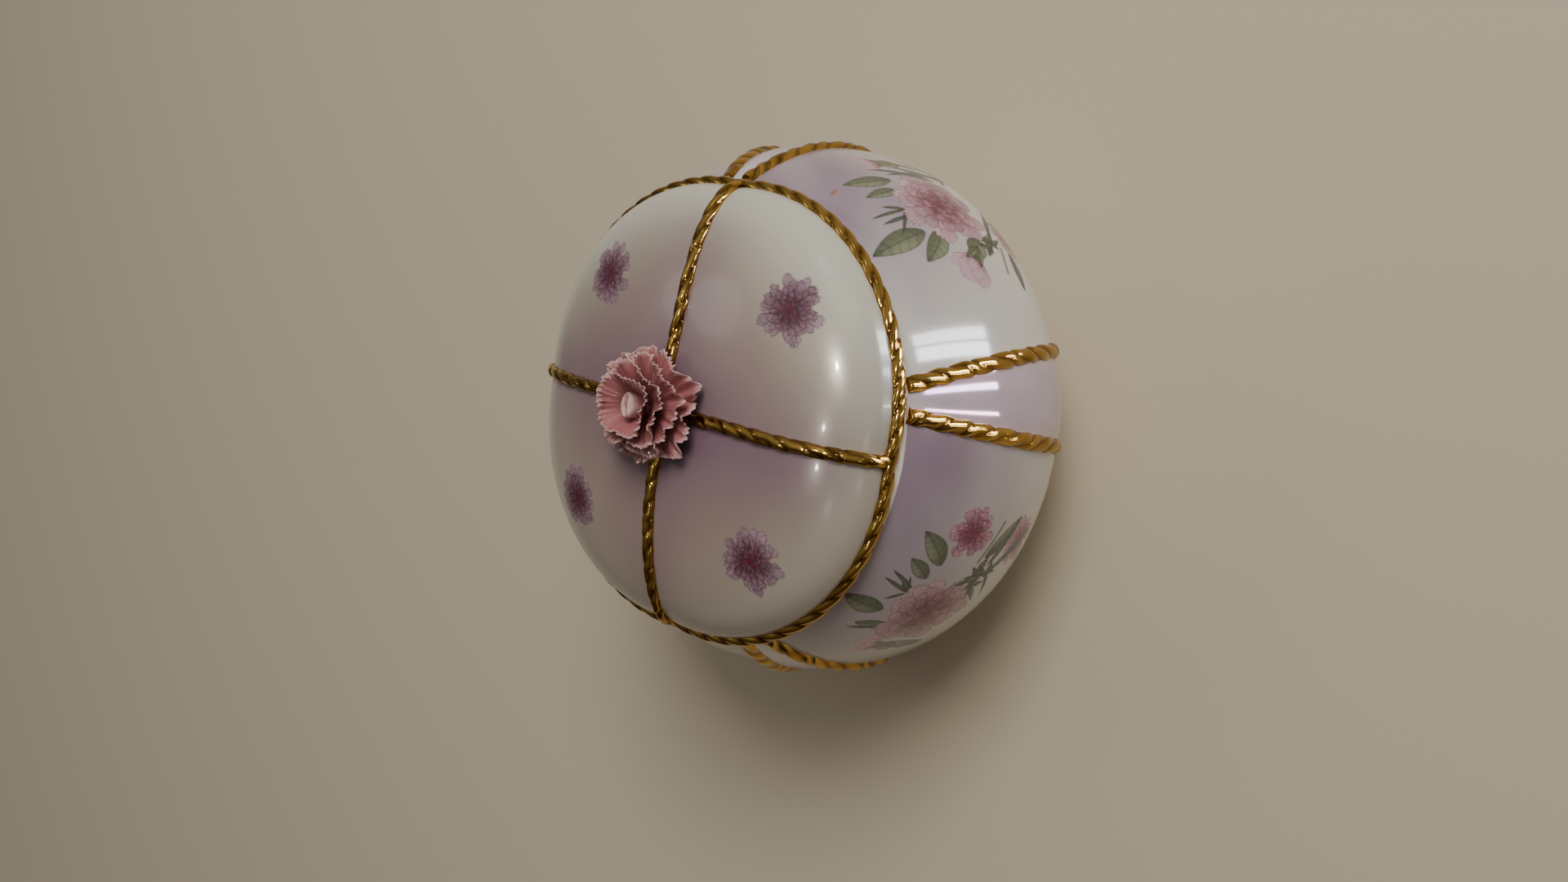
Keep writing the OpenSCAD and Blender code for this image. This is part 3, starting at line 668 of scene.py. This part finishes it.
def make_gusset(name, side, centre, slant):
    """Convex wedge: each level is an arc about the gusset's own leaning axis, between its two seams."""
    lean = math.atan((GUSSET_AXIS_TOP - GUSSET_AXIS_FOOT) / BOWL_H)
    z = np.linspace(3.0, BOWL_H, 230)
    w = seam_w(z)
    a = np.sqrt(bowl_r(z) ** 2 - w**2) - GUSSET_AXIS_FOOT
    across = a * math.cos(lean) - z * math.sin(lean)
    along = (a * math.sin(lean) + z * math.cos(lean))[:, None]
    radius = np.hypot(across, w)[:, None]
    phi = np.arctan2(w, across)[:, None] * np.linspace(-1, 1, 121)
    ax, ay = radius * np.cos(phi), radius * np.sin(phi)
    x = ax * math.cos(lean) + along * math.sin(lean) + GUSSET_AXIS_FOOT
    h = -ax * math.sin(lean) + along * math.cos(lean) - BELLY_Z
    tilt = math.radians(slant)
    y = ay * math.cos(tilt) - h * math.sin(tilt)
    h = np.clip(ay * math.sin(tilt) + h * math.cos(tilt) + BELLY_Z, FOOT_H + 0.2, BOWL_H - 0.5)
    front = np.stack([x, y, h], -1)
    back = np.stack([np.repeat(x[:, :1], x.shape[1], 1) - GUSSET_DEPTH, y, h], -1)
    rows, cols = x.shape
    n = rows * cols
    i, k = np.arange(rows - 1) * cols, np.arange(cols - 1)
    right, high = i + cols - 1, (rows - 1) * cols + k
    sides = [
        np.stack([i, i + cols, n + i + cols, n + i], -1),
        np.stack([right, n + right, n + right + cols, right + cols], -1),
        np.stack([k, n + k, n + k + 1, k + 1], -1),
        np.stack([high, high + 1, n + high + 1, n + high], -1),
    ]
    polys = [grid_quads(rows, cols, False), grid_quads(rows, cols, False, n)[:, ::-1]] + sides
    points = np.concatenate([front.reshape(-1, 3), back.reshape(-1, 3)])
    height = points[:, 2]
    tone = mix(LUSTRE_LILAC, LUSTRE_PINK, smooth(34 - height, 0, 16))
    tone = mix(tone, LUSTRE_WHITE, 0.55 * smooth(height, 42, 56))
    tone = tone * (1 + 0.04 * soft_noise(points[:, 1] * 2, height, 8, 12))[:, None]
    points = turn_about_z(points, centre + GUSSET_TURN)
    make_mesh(name, points, polys, tone, [lustre], "base", [f"gusset_{side}"])


# ---- cords
STRAND_AT, STRAND_R = 0.30, 0.70  # each cord is three round strands, as shares of its radius
CORD_STEP = 0.25  # distance of the rings along a cord


def unit(v):
    return v / np.linalg.norm(v, axis=-1, keepdims=True)


def arc_length(path):
    return np.concatenate([[0], np.cumsum(np.linalg.norm(np.diff(path, axis=0), axis=1))])


def resample(points, closed=False):
    p = np.concatenate([points, points[:1]]) if closed else points
    arc = arc_length(p)
    marks = np.linspace(0, arc[-1], int(round(arc[-1] / CORD_STEP)) + 1)
    marks = marks[:-1] if closed else marks
    return np.stack([np.interp(marks, arc, p[:, k]) for k in range(3)], -1)


def tangents(path, closed=False):
    if closed:
        return unit(np.roll(path, -1, 0) - np.roll(path, 1, 0))
    return unit(np.vstack([path[1:], path[-1:]]) - np.vstack([path[:1], path[:-1]]))


def cord_surface(path, out, r, hand, seed, closed=False, turns=None, blunt=(True, True)):
    """Three soft strands laid round each other along the path. Returns the depth of the grooves too."""
    rng = np.random.default_rng(seed)
    t = tangents(path, closed)
    b = unit(np.cross(t, out))
    u = np.cross(b, t)
    arc = arc_length(path)
    along = 2 * math.pi * arc / arc[-1]
    wave = sum(rng.uniform(0.3, 1) * np.sin(k * along + rng.uniform(0, 6)) for k in (2, 3, 5, 8, 13))
    size = r * (1 + 0.02 * wave / 1.5)
    third = 2 * math.pi / 3
    if closed:
        twist = 2 * math.pi * turns * arc / (arc[-1] + arc[1])
    else:
        twist = third * arc / BULGE_LEN + 0.25 * wave
        for is_blunt, gap in zip(blunt, (arc, arc[-1] - arc)):
            if is_blunt:
                size = size * np.sqrt(np.clip(1 - (1 - np.clip(gap / (0.8 * r), 0, 1)) ** 2, 0.02, 1))
    psi = once_round(36)[None, :]
    theta = (psi - hand * twist[:, None] + third / 2) % third - third / 2
    relief = STRAND_AT * np.cos(theta) + np.sqrt(STRAND_R**2 - (STRAND_AT * np.sin(theta)) ** 2)
    way = np.cos(psi)[..., None] * u[:, None] + np.sin(psi)[..., None] * b[:, None]
    grid = path[:, None] + (size[:, None] * relief)[..., None] * way
    groove = (1 - np.cos(1.5 * theta)).ravel()
    if closed:
        return *looped(grid), groove
    return *capped(grid, path[0], path[-1]), np.concatenate([groove, [0, 0]])


def gold_paint(points, groove, seed):
    x, y, z = points.T
    worn = 0.5 + 0.5 * soft_noise(x * 1.3 + z, y * 1.3 - z, seed, 7)
    # painted shade: darker brown deep in the grooves between strands; the worn patches are wear
    return mix(GOLD_BRIGHT, GOLD_BROWN, np.clip(0.75 * groove**1.2 + 0.30 * worn**3, 0, 0.92))


def make_cord(name, points, polys, groove, turn, seed, body, node):
    points = turn_about_z(points, turn)
    make_mesh(name, points, polys, gold_paint(points, groove, seed), [gilding], body, [node])


def make_seam_cord(name, centre, side, slant, seed):
    top = BOWL_H - 0.3
    z = np.linspace(FOOT_H + 1.2, top - 0.3, 900)
    q = np.stack([bowl_r(z), z], -1) - SEAM_SINK * SEAM_CORD_R * bowl_n(z)
    w = side * seam_w(z) - math.tan(math.radians(slant)) * (z - BELLY_Z)
    path = resample(np.stack([np.sqrt(q[:, 0] ** 2 - w**2), w, q[:, 1]], -1))
    m = bowl_n(path[:, 2])
    out = unit(path * [1, 1, 0]) * m[:, :1] + np.array([0, 0, 1]) * m[:, 1:]
    points, polys, groove = cord_surface(path, out, SEAM_CORD_R, side, seed, blunt=(True, False))
    points[:, 2] = np.minimum(points[:, 2], top)
    make_cord("gilt_" + name, points, polys, groove, centre + GUSSET_TURN, seed, "base", name)


def make_rim_cord():
    half = math.degrees(math.asin(VALLEY_R * DIAGONAL / LOBE_R))
    r = LOBE_R + 0.1
    a = np.radians(np.linspace(-half, half, 600, endpoint=False))
    lobes = []
    for m in np.radians([45, 135, 225, 315]):
        x, y = LOBE_OFFSET * math.cos(m) + r * np.cos(m + a), LOBE_OFFSET * math.sin(m) + r * np.sin(m + a)
        lobes.append(np.stack([x, y, np.full(len(a), RIM_Z)], -1))
    path = resample(np.concatenate(lobes), True)
    for _ in range(6):
        path = (np.roll(path, 1, 0) + path + np.roll(path, -1, 0)) / 3
    out = unit(path * [1, 1, 0])
    points, polys, groove = cord_surface(path, out, RIM_CORD_R, 1, 3, closed=True, turns=20)
    points[:, 2] = np.maximum(points[:, 2], BOWL_H + 0.15)
    make_cord("gilt_rim_cord", points, polys, groove, LID_TURN, 11, "lid", "lid_rim_rope")


def from_lobe(r, cos_gap):
    """Distance from a lobe's own axis of a point at radius r."""
    return np.sqrt(r**2 + LOBE_OFFSET**2 - 2 * r * LOBE_OFFSET * cos_gap)


def make_rib(name, turn, seed):
    start, end, sweep = CALYX_R - 1.6, VALLEY_R + 0.1, math.radians(84)
    r = start + (end - start) * np.sin(sweep * np.linspace(0, 1, 900)) / math.sin(sweep)
    z = dome_z(from_lobe(r, DIAGONAL)) + CORD_LIFT * RIB_CORD_R
    path = resample(np.stack([r, np.zeros_like(r), z], -1))
    t = tangents(path)
    out = np.stack([-t[:, 2], np.zeros(len(t)), t[:, 0]], -1)
    # laid by hand: not quite straight
    rng = np.random.default_rng(seed)
    along = np.linspace(0, 1, len(path))
    sway = rng.uniform(-1, 1) + 0.8 * np.sin(5 * along + rng.uniform(0, 6))
    path[:, 1] += 0.35 * np.sin(math.pi * along) * sway
    cord = cord_surface(path, out, RIB_CORD_R, 1, seed)
    make_cord("gilt_" + name, *cord, LID_TURN + turn, seed, "lid", name)


# ---- lid
LID_DECALS = [(29.9, -61.1), (29.9, -148.6), (28.7, 29.2), (29.4, 119.8)]  # radius and azimuth
DECAL_R = 5.7
# lilac beside each of the lid's cords: azimuth, strength clockwise and anticlockwise of it, and width
LID_SHADES = [(-105, 0.80, 0.35, 11.0), (75, 0.60, 0.35, 12.0), (-15, 0.30, 0.35, 9.0), (165, 0.3, 0.35, 9.0)]


def lid_ground(x, y, lower):
    """Lilac over the crown and beside the cords, cream towards the rim, white underneath, and painted shade
    on the left and back lobes.
    """
    rad, azimuth = np.hypot(x, y), np.degrees(np.arctan2(y, x))
    lilac = 0.85 * np.exp(-((rad / 20.0) ** 2))
    for cord_azimuth, clockwise, anticlockwise, width in LID_SHADES:
        off = np.radians(degrees_past(azimuth, cord_azimuth))
        gap = rad * np.abs(np.sin(off))
        gain = np.where(off > 0, anticlockwise, clockwise)
        local = gain * np.exp(-((gap / width) ** 2)) * (np.cos(off) > 0) * (1 - smooth(rad, 28, 40) * 0.75)
        lilac = 1 - (1 - lilac) * (1 - local)
    lilac = np.where(lower, 0, np.clip(lilac * (1 + 0.16 * soft_noise(x, y, 21, 22)), 0, 1))
    # painted shade, as light falls from the front right: on the left the beige reaches further out, the lobes
    # are darker and the pale rim fainter; the back lobes are darker too
    left = smooth(-x - 0.2 * y, -8, 20)
    back = 1 - smooth(-y - 0.2 * x, -12, 22)
    beige = np.where(lower, 0, 0.95 * (1 - smooth(rad, 20, 38) * (0.85 - 0.5 * left)))
    colours = mix(LID_CREAM, LID_BEIGE, beige)
    colours = colours * (1 - 0.12 * left * (1 - back) - 0.16 * back * (1 - 0.8 * left))[:, None]
    colours = mix(colours, LID_LILAC, lilac)
    colours = mix(colours, LID_RIM, 0.55 * smooth(rad, 31, 39) * (1 - 0.6 * left) * (~lower))
    colours[lower] = GLAZE_WHITE
    return colours


def ring_at(radius, z, a):
    return np.stack([radius * np.cos(a), radius * np.sin(a), z + 0 * a], -1)


def make_dome():
    az = azimuth_runs([azimuth - LID_TURN for _, azimuth in LID_DECALS], 15, 0.3, 1.0)
    rel = np.radians((az % 90) - 45)
    rim = LOBE_OFFSET * np.cos(rel) + np.sqrt(LOBE_R**2 - (LOBE_OFFSET * np.sin(rel)) ** 2)
    a = np.radians(az)
    share = np.concatenate([np.linspace(0, 0.985, 210), 1 - 0.015 * (1 - np.linspace(0, 1, 24)[1:]) ** 2])[1:]
    r = share[:, None] * rim
    hollow_h = CROWN_Z - LID_WALL - BOWL_H
    levels = [(rim, BOWL_H + 0.3), (rim - 0.25, BOWL_H)]
    for angle in np.radians(np.linspace(0, 90, 46)[:-1]):
        levels.append((HOLLOW_R * math.cos(angle), BOWL_H + hollow_h * math.sin(angle)))
    outer = ring_at(r, dome_z(from_lobe(r, np.cos(rel))), a)
    grid = np.concatenate([outer, [ring_at(radius, z, a) for radius, z in levels]])
    crown = [0, 0, float(dome_z(np.array(LOBE_OFFSET)))]
    points, polys = capped(grid, crown, [0, 0, BOWL_H + hollow_h], True)
    points = turn_about_z(points, LID_TURN)
    x, y = points[:, 0], points[:, 1]
    lower = np.arange(len(points)) >= len(outer) * len(a)
    lower[-2] = False  # the crown's own vertex
    colours = lid_ground(x, y, lower)
    for k, (r0, a0) in enumerate(LID_DECALS):
        a0 = math.radians(a0)
        out, side = x * math.cos(a0) + y * math.sin(a0), -x * math.sin(a0) + y * math.cos(a0)
        at = np.flatnonzero((np.hypot(x - r0 * math.cos(a0), y - r0 * math.sin(a0)) < 9) & ~lower)
        canvas = Canvas(side[at], (out[at] - r0) * 1.03, colours[at])
        draw_carnation(canvas, 0, 0, DECAL_R, MAGENTA, 300 + k, 0.88, 0.8, fine=1.55)
        colours[at] = canvas.colours
    make_mesh("lid_shell", points, polys, colours, [lid_glaze], "lid", ["lid_dome"])


def make_flange():
    r, low = MOUTH_R - FLANGE_GAP, BOWL_H - FLANGE_H
    inside = r - FLANGE_W
    profile = rounded([
        [inside, BOWL_H], [inside, low + 0.5], [inside + 0.5, low],
        [r - 0.8, low], [r, low + 0.8], [r, BOWL_H],
    ], 2, True)
    points, polys = lathe_ring(profile, np.linspace(0, 360, 240, endpoint=False))
    node = "lid_flange"
    make_mesh("locating_flange", points, polys, BISQUE, [bisque], node, [node])


# ---- carnation on the lid
TOOTH = 0.95  # width of a tooth along a petal's edge


def make_tier(node, z0, r, dish, waves, ruffle, turn, petals, seed):
    """One frilled ring of petals, split between them and toothed along the edge.

    z0 is its foot, dish its height at the edge, waves and ruffle the number and height of its big waves.
    """
    rng = np.random.default_rng(seed)
    cols, rings = 900, 40
    a = once_round(cols)
    v = np.linspace(0, 1, rings + 1)[1:, None] ** 0.8
    lobed = 0.09 * v * np.cos(waves * a + math.radians(50)) + 0.05 * v * np.sin(2 * a + math.radians(turn))
    edge = r * v * (1 + lobed)
    rise = dish * v**PETAL_RISE
    rise = rise + ruffle * v**2 * (np.sin(waves * a) + 0.4 * np.sin((waves + 3) * a))
    split = np.zeros(cols)
    for k in range(petals):
        c = 2 * math.pi * (k + rng.uniform(-0.2, 0.2)) / petals + 0.4
        gap = (a - c + math.pi) % (2 * math.pi) - math.pi
        split += rng.uniform(0.10, 0.2) * np.exp(-np.abs(gap) / rng.uniform(0.035, 0.06))
        rise = rise + rng.uniform(-0.35, 0.35) * v**3 * np.exp(-((gap / (0.8 * math.pi / petals)) ** 2))
    for count, size in ((13, 0.34), (19, 0.26), (27, 0.20), (38, 0.12)):
        frill = np.sin(count * a + rng.uniform(0, 6) + 1.5 * np.sin(3 * a + rng.uniform(0, 6)))
        rise = rise + size * ruffle / 0.55 * v**5 * frill
    warp = a + 0.035 * np.sin(5 * a + rng.uniform(0, 6)) + 0.02 * np.sin(11 * a + rng.uniform(0, 6))
    warp = warp * int(round(2 * math.pi * r / TOOTH))
    teeth = np.abs(np.sin(0.5 * warp)) ** 0.8
    depth = 0.32 * (0.75 + 0.35 * np.sin(4 * a + 1) + 0.3 * np.sin(9 * a + rng.uniform(0, 6)))
    near_edge = smooth(v, 0.86, 1.0)
    edge = edge * (1 - split * v**4) - near_edge * depth * (1 - teeth) * 1.3
    rise = z0 + rise + near_edge * 0.16 * np.sin(warp + 0.8)
    thick = PETAL_T * (1 - 0.5 * v) - 0.12 * near_edge
    # upper side, one row that rounds the rim, and the lower side
    grid = np.concatenate([
        ring_at(edge, rise + thick, a),
        ring_at(edge[-1:] + 0.12, rise[-1:] + 0.5 * thick[-1:], a),
        ring_at(edge[::-1] * 0.995, rise[::-1], a),
    ])
    points, polys = capped(grid, [0, 0, z0 + PETAL_T], [0, 0, z0], True)
    out = np.concatenate([np.repeat(v, cols), np.ones(cols), np.repeat(v[::-1], cols), [0, 0]])
    ang = np.concatenate([np.tile(a, len(grid)), [0, 0]])
    streak = 0.5 + 0.5 * np.sin(47 * ang + 3 * np.sin(7 * ang)) * np.sin(29 * ang + 1)
    tone = mix(PETAL["deep"], PETAL["mid"], smooth(out, 0.25, 0.8))
    pale = np.clip(smooth(out, 0.90, 1.0) * (0.45 + 0.4 * streak) + 0.12 * streak * out, 0, 1)
    points = turn_about_z(points, turn, FLOWER_AT)
    tone = mix(tone, PETAL["pale"], pale)
    make_mesh(node + "_frilled", points, polys, tone, [petal_glaze], "lid", [node])


def make_calyx():
    low = float(dome_z(np.array(LOBE_OFFSET))) - 0.4
    profile = [
        [0, low], [CALYX_R - 0.2, low], [CALYX_R, low + 0.1], [CALYX_R * 0.93, CROWN_Z + 0.3 * CALYX_H],
        [CALYX_R * 0.72, CROWN_Z + 0.75 * CALYX_H], [CALYX_R * 0.4, CALYX_TOP], [0, CALYX_TOP],
    ]
    points, polys = lathe(rounded(profile, 2), np.linspace(0, 360, 96, endpoint=False), FLOWER_AT)
    tone = PETAL["deep"]
    make_mesh("flower_pad", points, polys, tone, [petal_glaze], "lid", ["carnation_calyx"])


def make_heart():
    """Rolled bud: two lips meeting in sharp ends, with a sloping, slightly opened top."""
    low, high = CALYX_TOP + 0.28 * FLOWER_H, CALYX_TOP + 0.86 * FLOWER_H
    half_length, half_width = BUD_LENGTH / 2, 0.29 * BUD_LENGTH
    arc_r = (half_length**2 + half_width**2) / (2 * half_width)
    a = once_round(240)
    # distance from the middle to the nearer of the two arcs
    offset = arc_r - half_width
    reach = np.sqrt(arc_r**2 - (offset * np.cos(a)) ** 2) - offset * np.abs(np.sin(a))
    reach = reach * (1 - 0.05 * np.cos(2 * a) ** 6) * (1 + 0.02 * np.sin(5 * a + 1))

    def top(x):
        return high - (x + half_length) * math.tan(math.radians(14))

    rows = []
    for t in np.linspace(0, 1, 50):
        size = reach * (1 - 0.04 * (1 - t)) * (1 - 0.10 * smooth(t, 0.88, 1.0))
        x, y = size * np.cos(a), size * np.sin(a)
        rows.append(np.stack([x, y, low + (top(x) - 0.15 - low) * t], -1))
    for f in np.linspace(0.96, 0.05, 36):
        x, y = 0.9 * f * reach * np.cos(a), 0.9 * f * reach * np.sin(a)
        fold = -0.55 * np.exp(-(((y + 0.25 * np.sin(1.3 * x)) / 0.22) ** 2)) * smooth(1 - f, 0, 0.25)
        bulge = 0.10 * (1 - f) + 0.06 * np.sin(4 * x) * smooth(1 - f, 0, 0.3)
        rows.append(np.stack([x, y, top(x) - 0.1 + fold + bulge], -1))
    points, polys = capped(np.stack(rows), [0, 0, low], [0, 0, float(rows[-1][:, 2].mean())])
    height = (points[:, 2] - low) / (high - low)
    tone = mix(BUD_SIDE, BUD_TOP, smooth(height, 0.35, 0.85))
    tone = mix(tone, BUD_FOLD, 0.85 * smooth(0.5 - np.abs(points[:, 1]), 0, 0.35) * (height > 0.6))
    points = turn_about_z(points, BUD_TURN, FLOWER_AT)
    make_mesh("rolled_bud", points, polys, tone, [bud_glaze], "lid", ["carnation_heart"])


make_bowl()
# each gusset, and the names of the cords on its two sides
GUSSETS = [
    ("front", FRONT, 0, ("front_left", "front_right")),
    ("right", RIGHT, GUSSET_SLANT, ("right_front", "right_back")),
    ("back", BACK, 0, ("back_right", "back_left")),
    ("left", LEFT, -GUSSET_SLANT, ("left_back", "left_front")),
]
for side, centre, slant, _ in GUSSETS:
    make_gusset("lustre_" + side, side, centre, slant)
for i, (_, centre, slant, cords) in enumerate(GUSSETS):
    for j, cord in enumerate(cords):
        make_seam_cord("rope_" + cord, centre, 2 * j - 1, slant, 31 + 2 * i + j)
make_dome()
make_flange()
make_rim_cord()
for i, (side, turn) in enumerate((("front", -90), ("right", 0), ("back", 90), ("left", 180))):
    make_rib("lid_rope_" + side, turn, 51 + i)
make_calyx()
# tier, foot above the pad, share of the flower's radius and height, waves, ruffle, turn, petals, seed
for tier, foot, wide, tall, *rest in (
    ("outer", -0.3, 0.92, 0.2, 6, 0.8, 50, 7, 61),
    ("middle", 0.05, 0.78, 0.44, 5, 0.6, 65, 6, 62),
    ("upper", 0.4, 0.63, 0.66, 5, 0.45, 5, 5, 63),
    ("inner", 0.75, 0.49, 0.82, 4, 0.35, 40, 4, 64),
):
    make_tier(f"carnation_{tier}_petals", CALYX_TOP + foot, FLOWER_R * wide, tall * FLOWER_H, *rest)
make_heart()

# ---- floor, light and camera
FLOOR_COLOUR = (0.565, 0.495, 0.375, 1)
bpy.ops.mesh.primitive_plane_add(size=6)
floor = bpy.context.object
floor.name = "floor"
floor_material = bpy.data.materials.new("floor")
floor_material.use_nodes = True
floor_surface = floor_material.node_tree.nodes["Principled BSDF"]
floor_surface.inputs["Base Color"].default_value = FLOOR_COLOUR
floor_surface.inputs["Roughness"].default_value = 0.9
floor_surface.inputs["Specular IOR Level"].default_value = 0.0
floor.data.materials.append(floor_material)

# the room's light: pale towards BRIGHT_SIDE, warm and dark away from it
BRIGHT_SIDE = (0.62, -0.28, 0.73)
ROOM_TONES = [(0.3, (0.07, 0.05, 0.035, 1)), (0.95, (0.62, 0.61, 0.60, 1)), (0.68, (0.24, 0.21, 0.185, 1))]
world = bpy.data.worlds.new("studio")
bpy.context.scene.world = world
world.use_nodes = True
tree = world.node_tree
coords = tree.nodes.new("ShaderNodeTexCoord")
towards_light = tree.nodes.new("ShaderNodeVectorMath")
towards_light.operation = "DOT_PRODUCT"
towards_light.inputs[1].default_value = BRIGHT_SIDE
ramp = tree.nodes.new("ShaderNodeValToRGB")
tree.links.new(coords.outputs["Generated"], towards_light.inputs[0])
tree.links.new(map_range(tree, towards_light.outputs["Value"], -1, 1, 0, 1), ramp.inputs["Fac"])
stops = ramp.color_ramp.elements
stops.new(ROOM_TONES[2][0])
for stop, (position, colour) in zip(stops, sorted(ROOM_TONES)):
    stop.position, stop.color = position, colour
tree.links.new(ramp.outputs["Color"], tree.nodes["Background"].inputs["Color"])
tree.nodes["Background"].inputs["Strength"].default_value = 0.66


def softbox(
    name, azimuth, elevation, distance, size, power, colour, aim=(0, 0, 0.04), shape="RECTANGLE", only=None
):
    """Area light in metres and watts. `only` limits it to "shading" or to "reflection"."""
    light = bpy.data.lights.new(name, "AREA")
    light.shape = shape
    light.size, light.size_y = size
    light.energy = power
    light.color = colour
    obj = place(name, light)
    a, e = math.radians(azimuth), math.radians(elevation)
    way = Vector((math.cos(a) * math.cos(e), math.sin(a) * math.cos(e), math.sin(e)))
    obj.location = Vector(aim) + way * distance
    obj.rotation_euler = way.to_track_quat("Z", "Y").to_euler()
    obj.visible_camera = False
    obj.visible_glossy = only != "shading"
    obj.visible_diffuse = only != "reflection"


DAYLIGHT, GOLDEN = (0.92, 0.97, 1.0), (1.0, 0.93, 0.8)
BELLY, PANE, ROUND = (0, 0, 0.037), 0.066, "ELLIPSE"
softbox("key", -38, 46, 0.9, (0.40, 0.40), 6.2, (1.0, 0.96, 0.9), only="shading")
for pane, azimuth, distance, width, power, colour in (
    ("window left pane", -75.3, 0.125, 0.009, 0.060, DAYLIGHT),
    ("window right pane", -70.4, 0.125, 0.008, 0.045, DAYLIGHT),
    ("gusset pane right", -84.0, 0.1247, 0.007, 0.040, (0.74, 0.78, 1.0)),
    ("gusset pane left", -97.0, 0.1243, 0.003, 0.020, (0.98, 0.99, 1.0)),
):
    softbox(pane, azimuth, 0, distance, (width, PANE), power, colour, BELLY, only="reflection")
for side, *angles, size, power in (
    ("left", -118, 34, 0.10, 0.09), ("right", -20, 40, 0.10, 0.09), ("high", -150, 62, 0.08, 0.07),
):
    softbox("cord glint " + side, *angles, 0.8, (size, size), power, GOLDEN, only="reflection")
aim = (0.005, -0.034, 0.065)
softbox("lamp", -59.4, 75.7, 0.9, (0.03, 0.03), 3.6, (1.0, 0.90, 0.74), aim, ROUND, "reflection")
softbox("far window", 62, 50, 1.2, (0.30, 0.30), 0.40, (1.0, 0.97, 0.93), (0.015, -0.015, 0.069), ROUND)
aim = (-0.0104, -0.0294, 0.066)
softbox("small lamp", -164.2, 80.5, 1.0, (0.02, 0.02), 0.7, (1.0, 0.92, 0.8), aim, ROUND, "reflection")

# degrees, mm, and pixels of the frame
ELEVATION, ROLL, DISTANCE, FOCAL_PX = 50.94, -2.51, 238.4, 1500.0
SHIFT_RIGHT, SHIFT_UP, AIM_Z = -6.27, 4.63, 30.0
e, r = math.radians(ELEVATION), math.radians(ROLL)
back = Vector((0, -math.cos(e), math.sin(e)))
right = Vector((1, 0, 0))
up = back.cross(right)
right_rolled = math.cos(r) * right + math.sin(r) * up
up_rolled = -math.sin(r) * right + math.cos(r) * up
eye = (Vector((0, 0, AIM_Z)) + back * DISTANCE + right_rolled * SHIFT_RIGHT + up_rolled * SHIFT_UP) * MM
camera_data = bpy.data.cameras.new("camera")
camera = place("camera", camera_data)
# the camera is rolled a quarter turn, so the lid is at the left of the frame
columns = (-up_rolled, right_rolled, back, eye)
camera.matrix_world = Matrix([[column[i] for column in columns] for i in range(3)] + [[0, 0, 0, 1]])
SENSOR_MM, FRAME_WIDTH = 36, 1920
camera_data.lens = FOCAL_PX * SENSOR_MM / FRAME_WIDTH
camera_data.clip_start = 0.01
bpy.context.scene.camera = camera
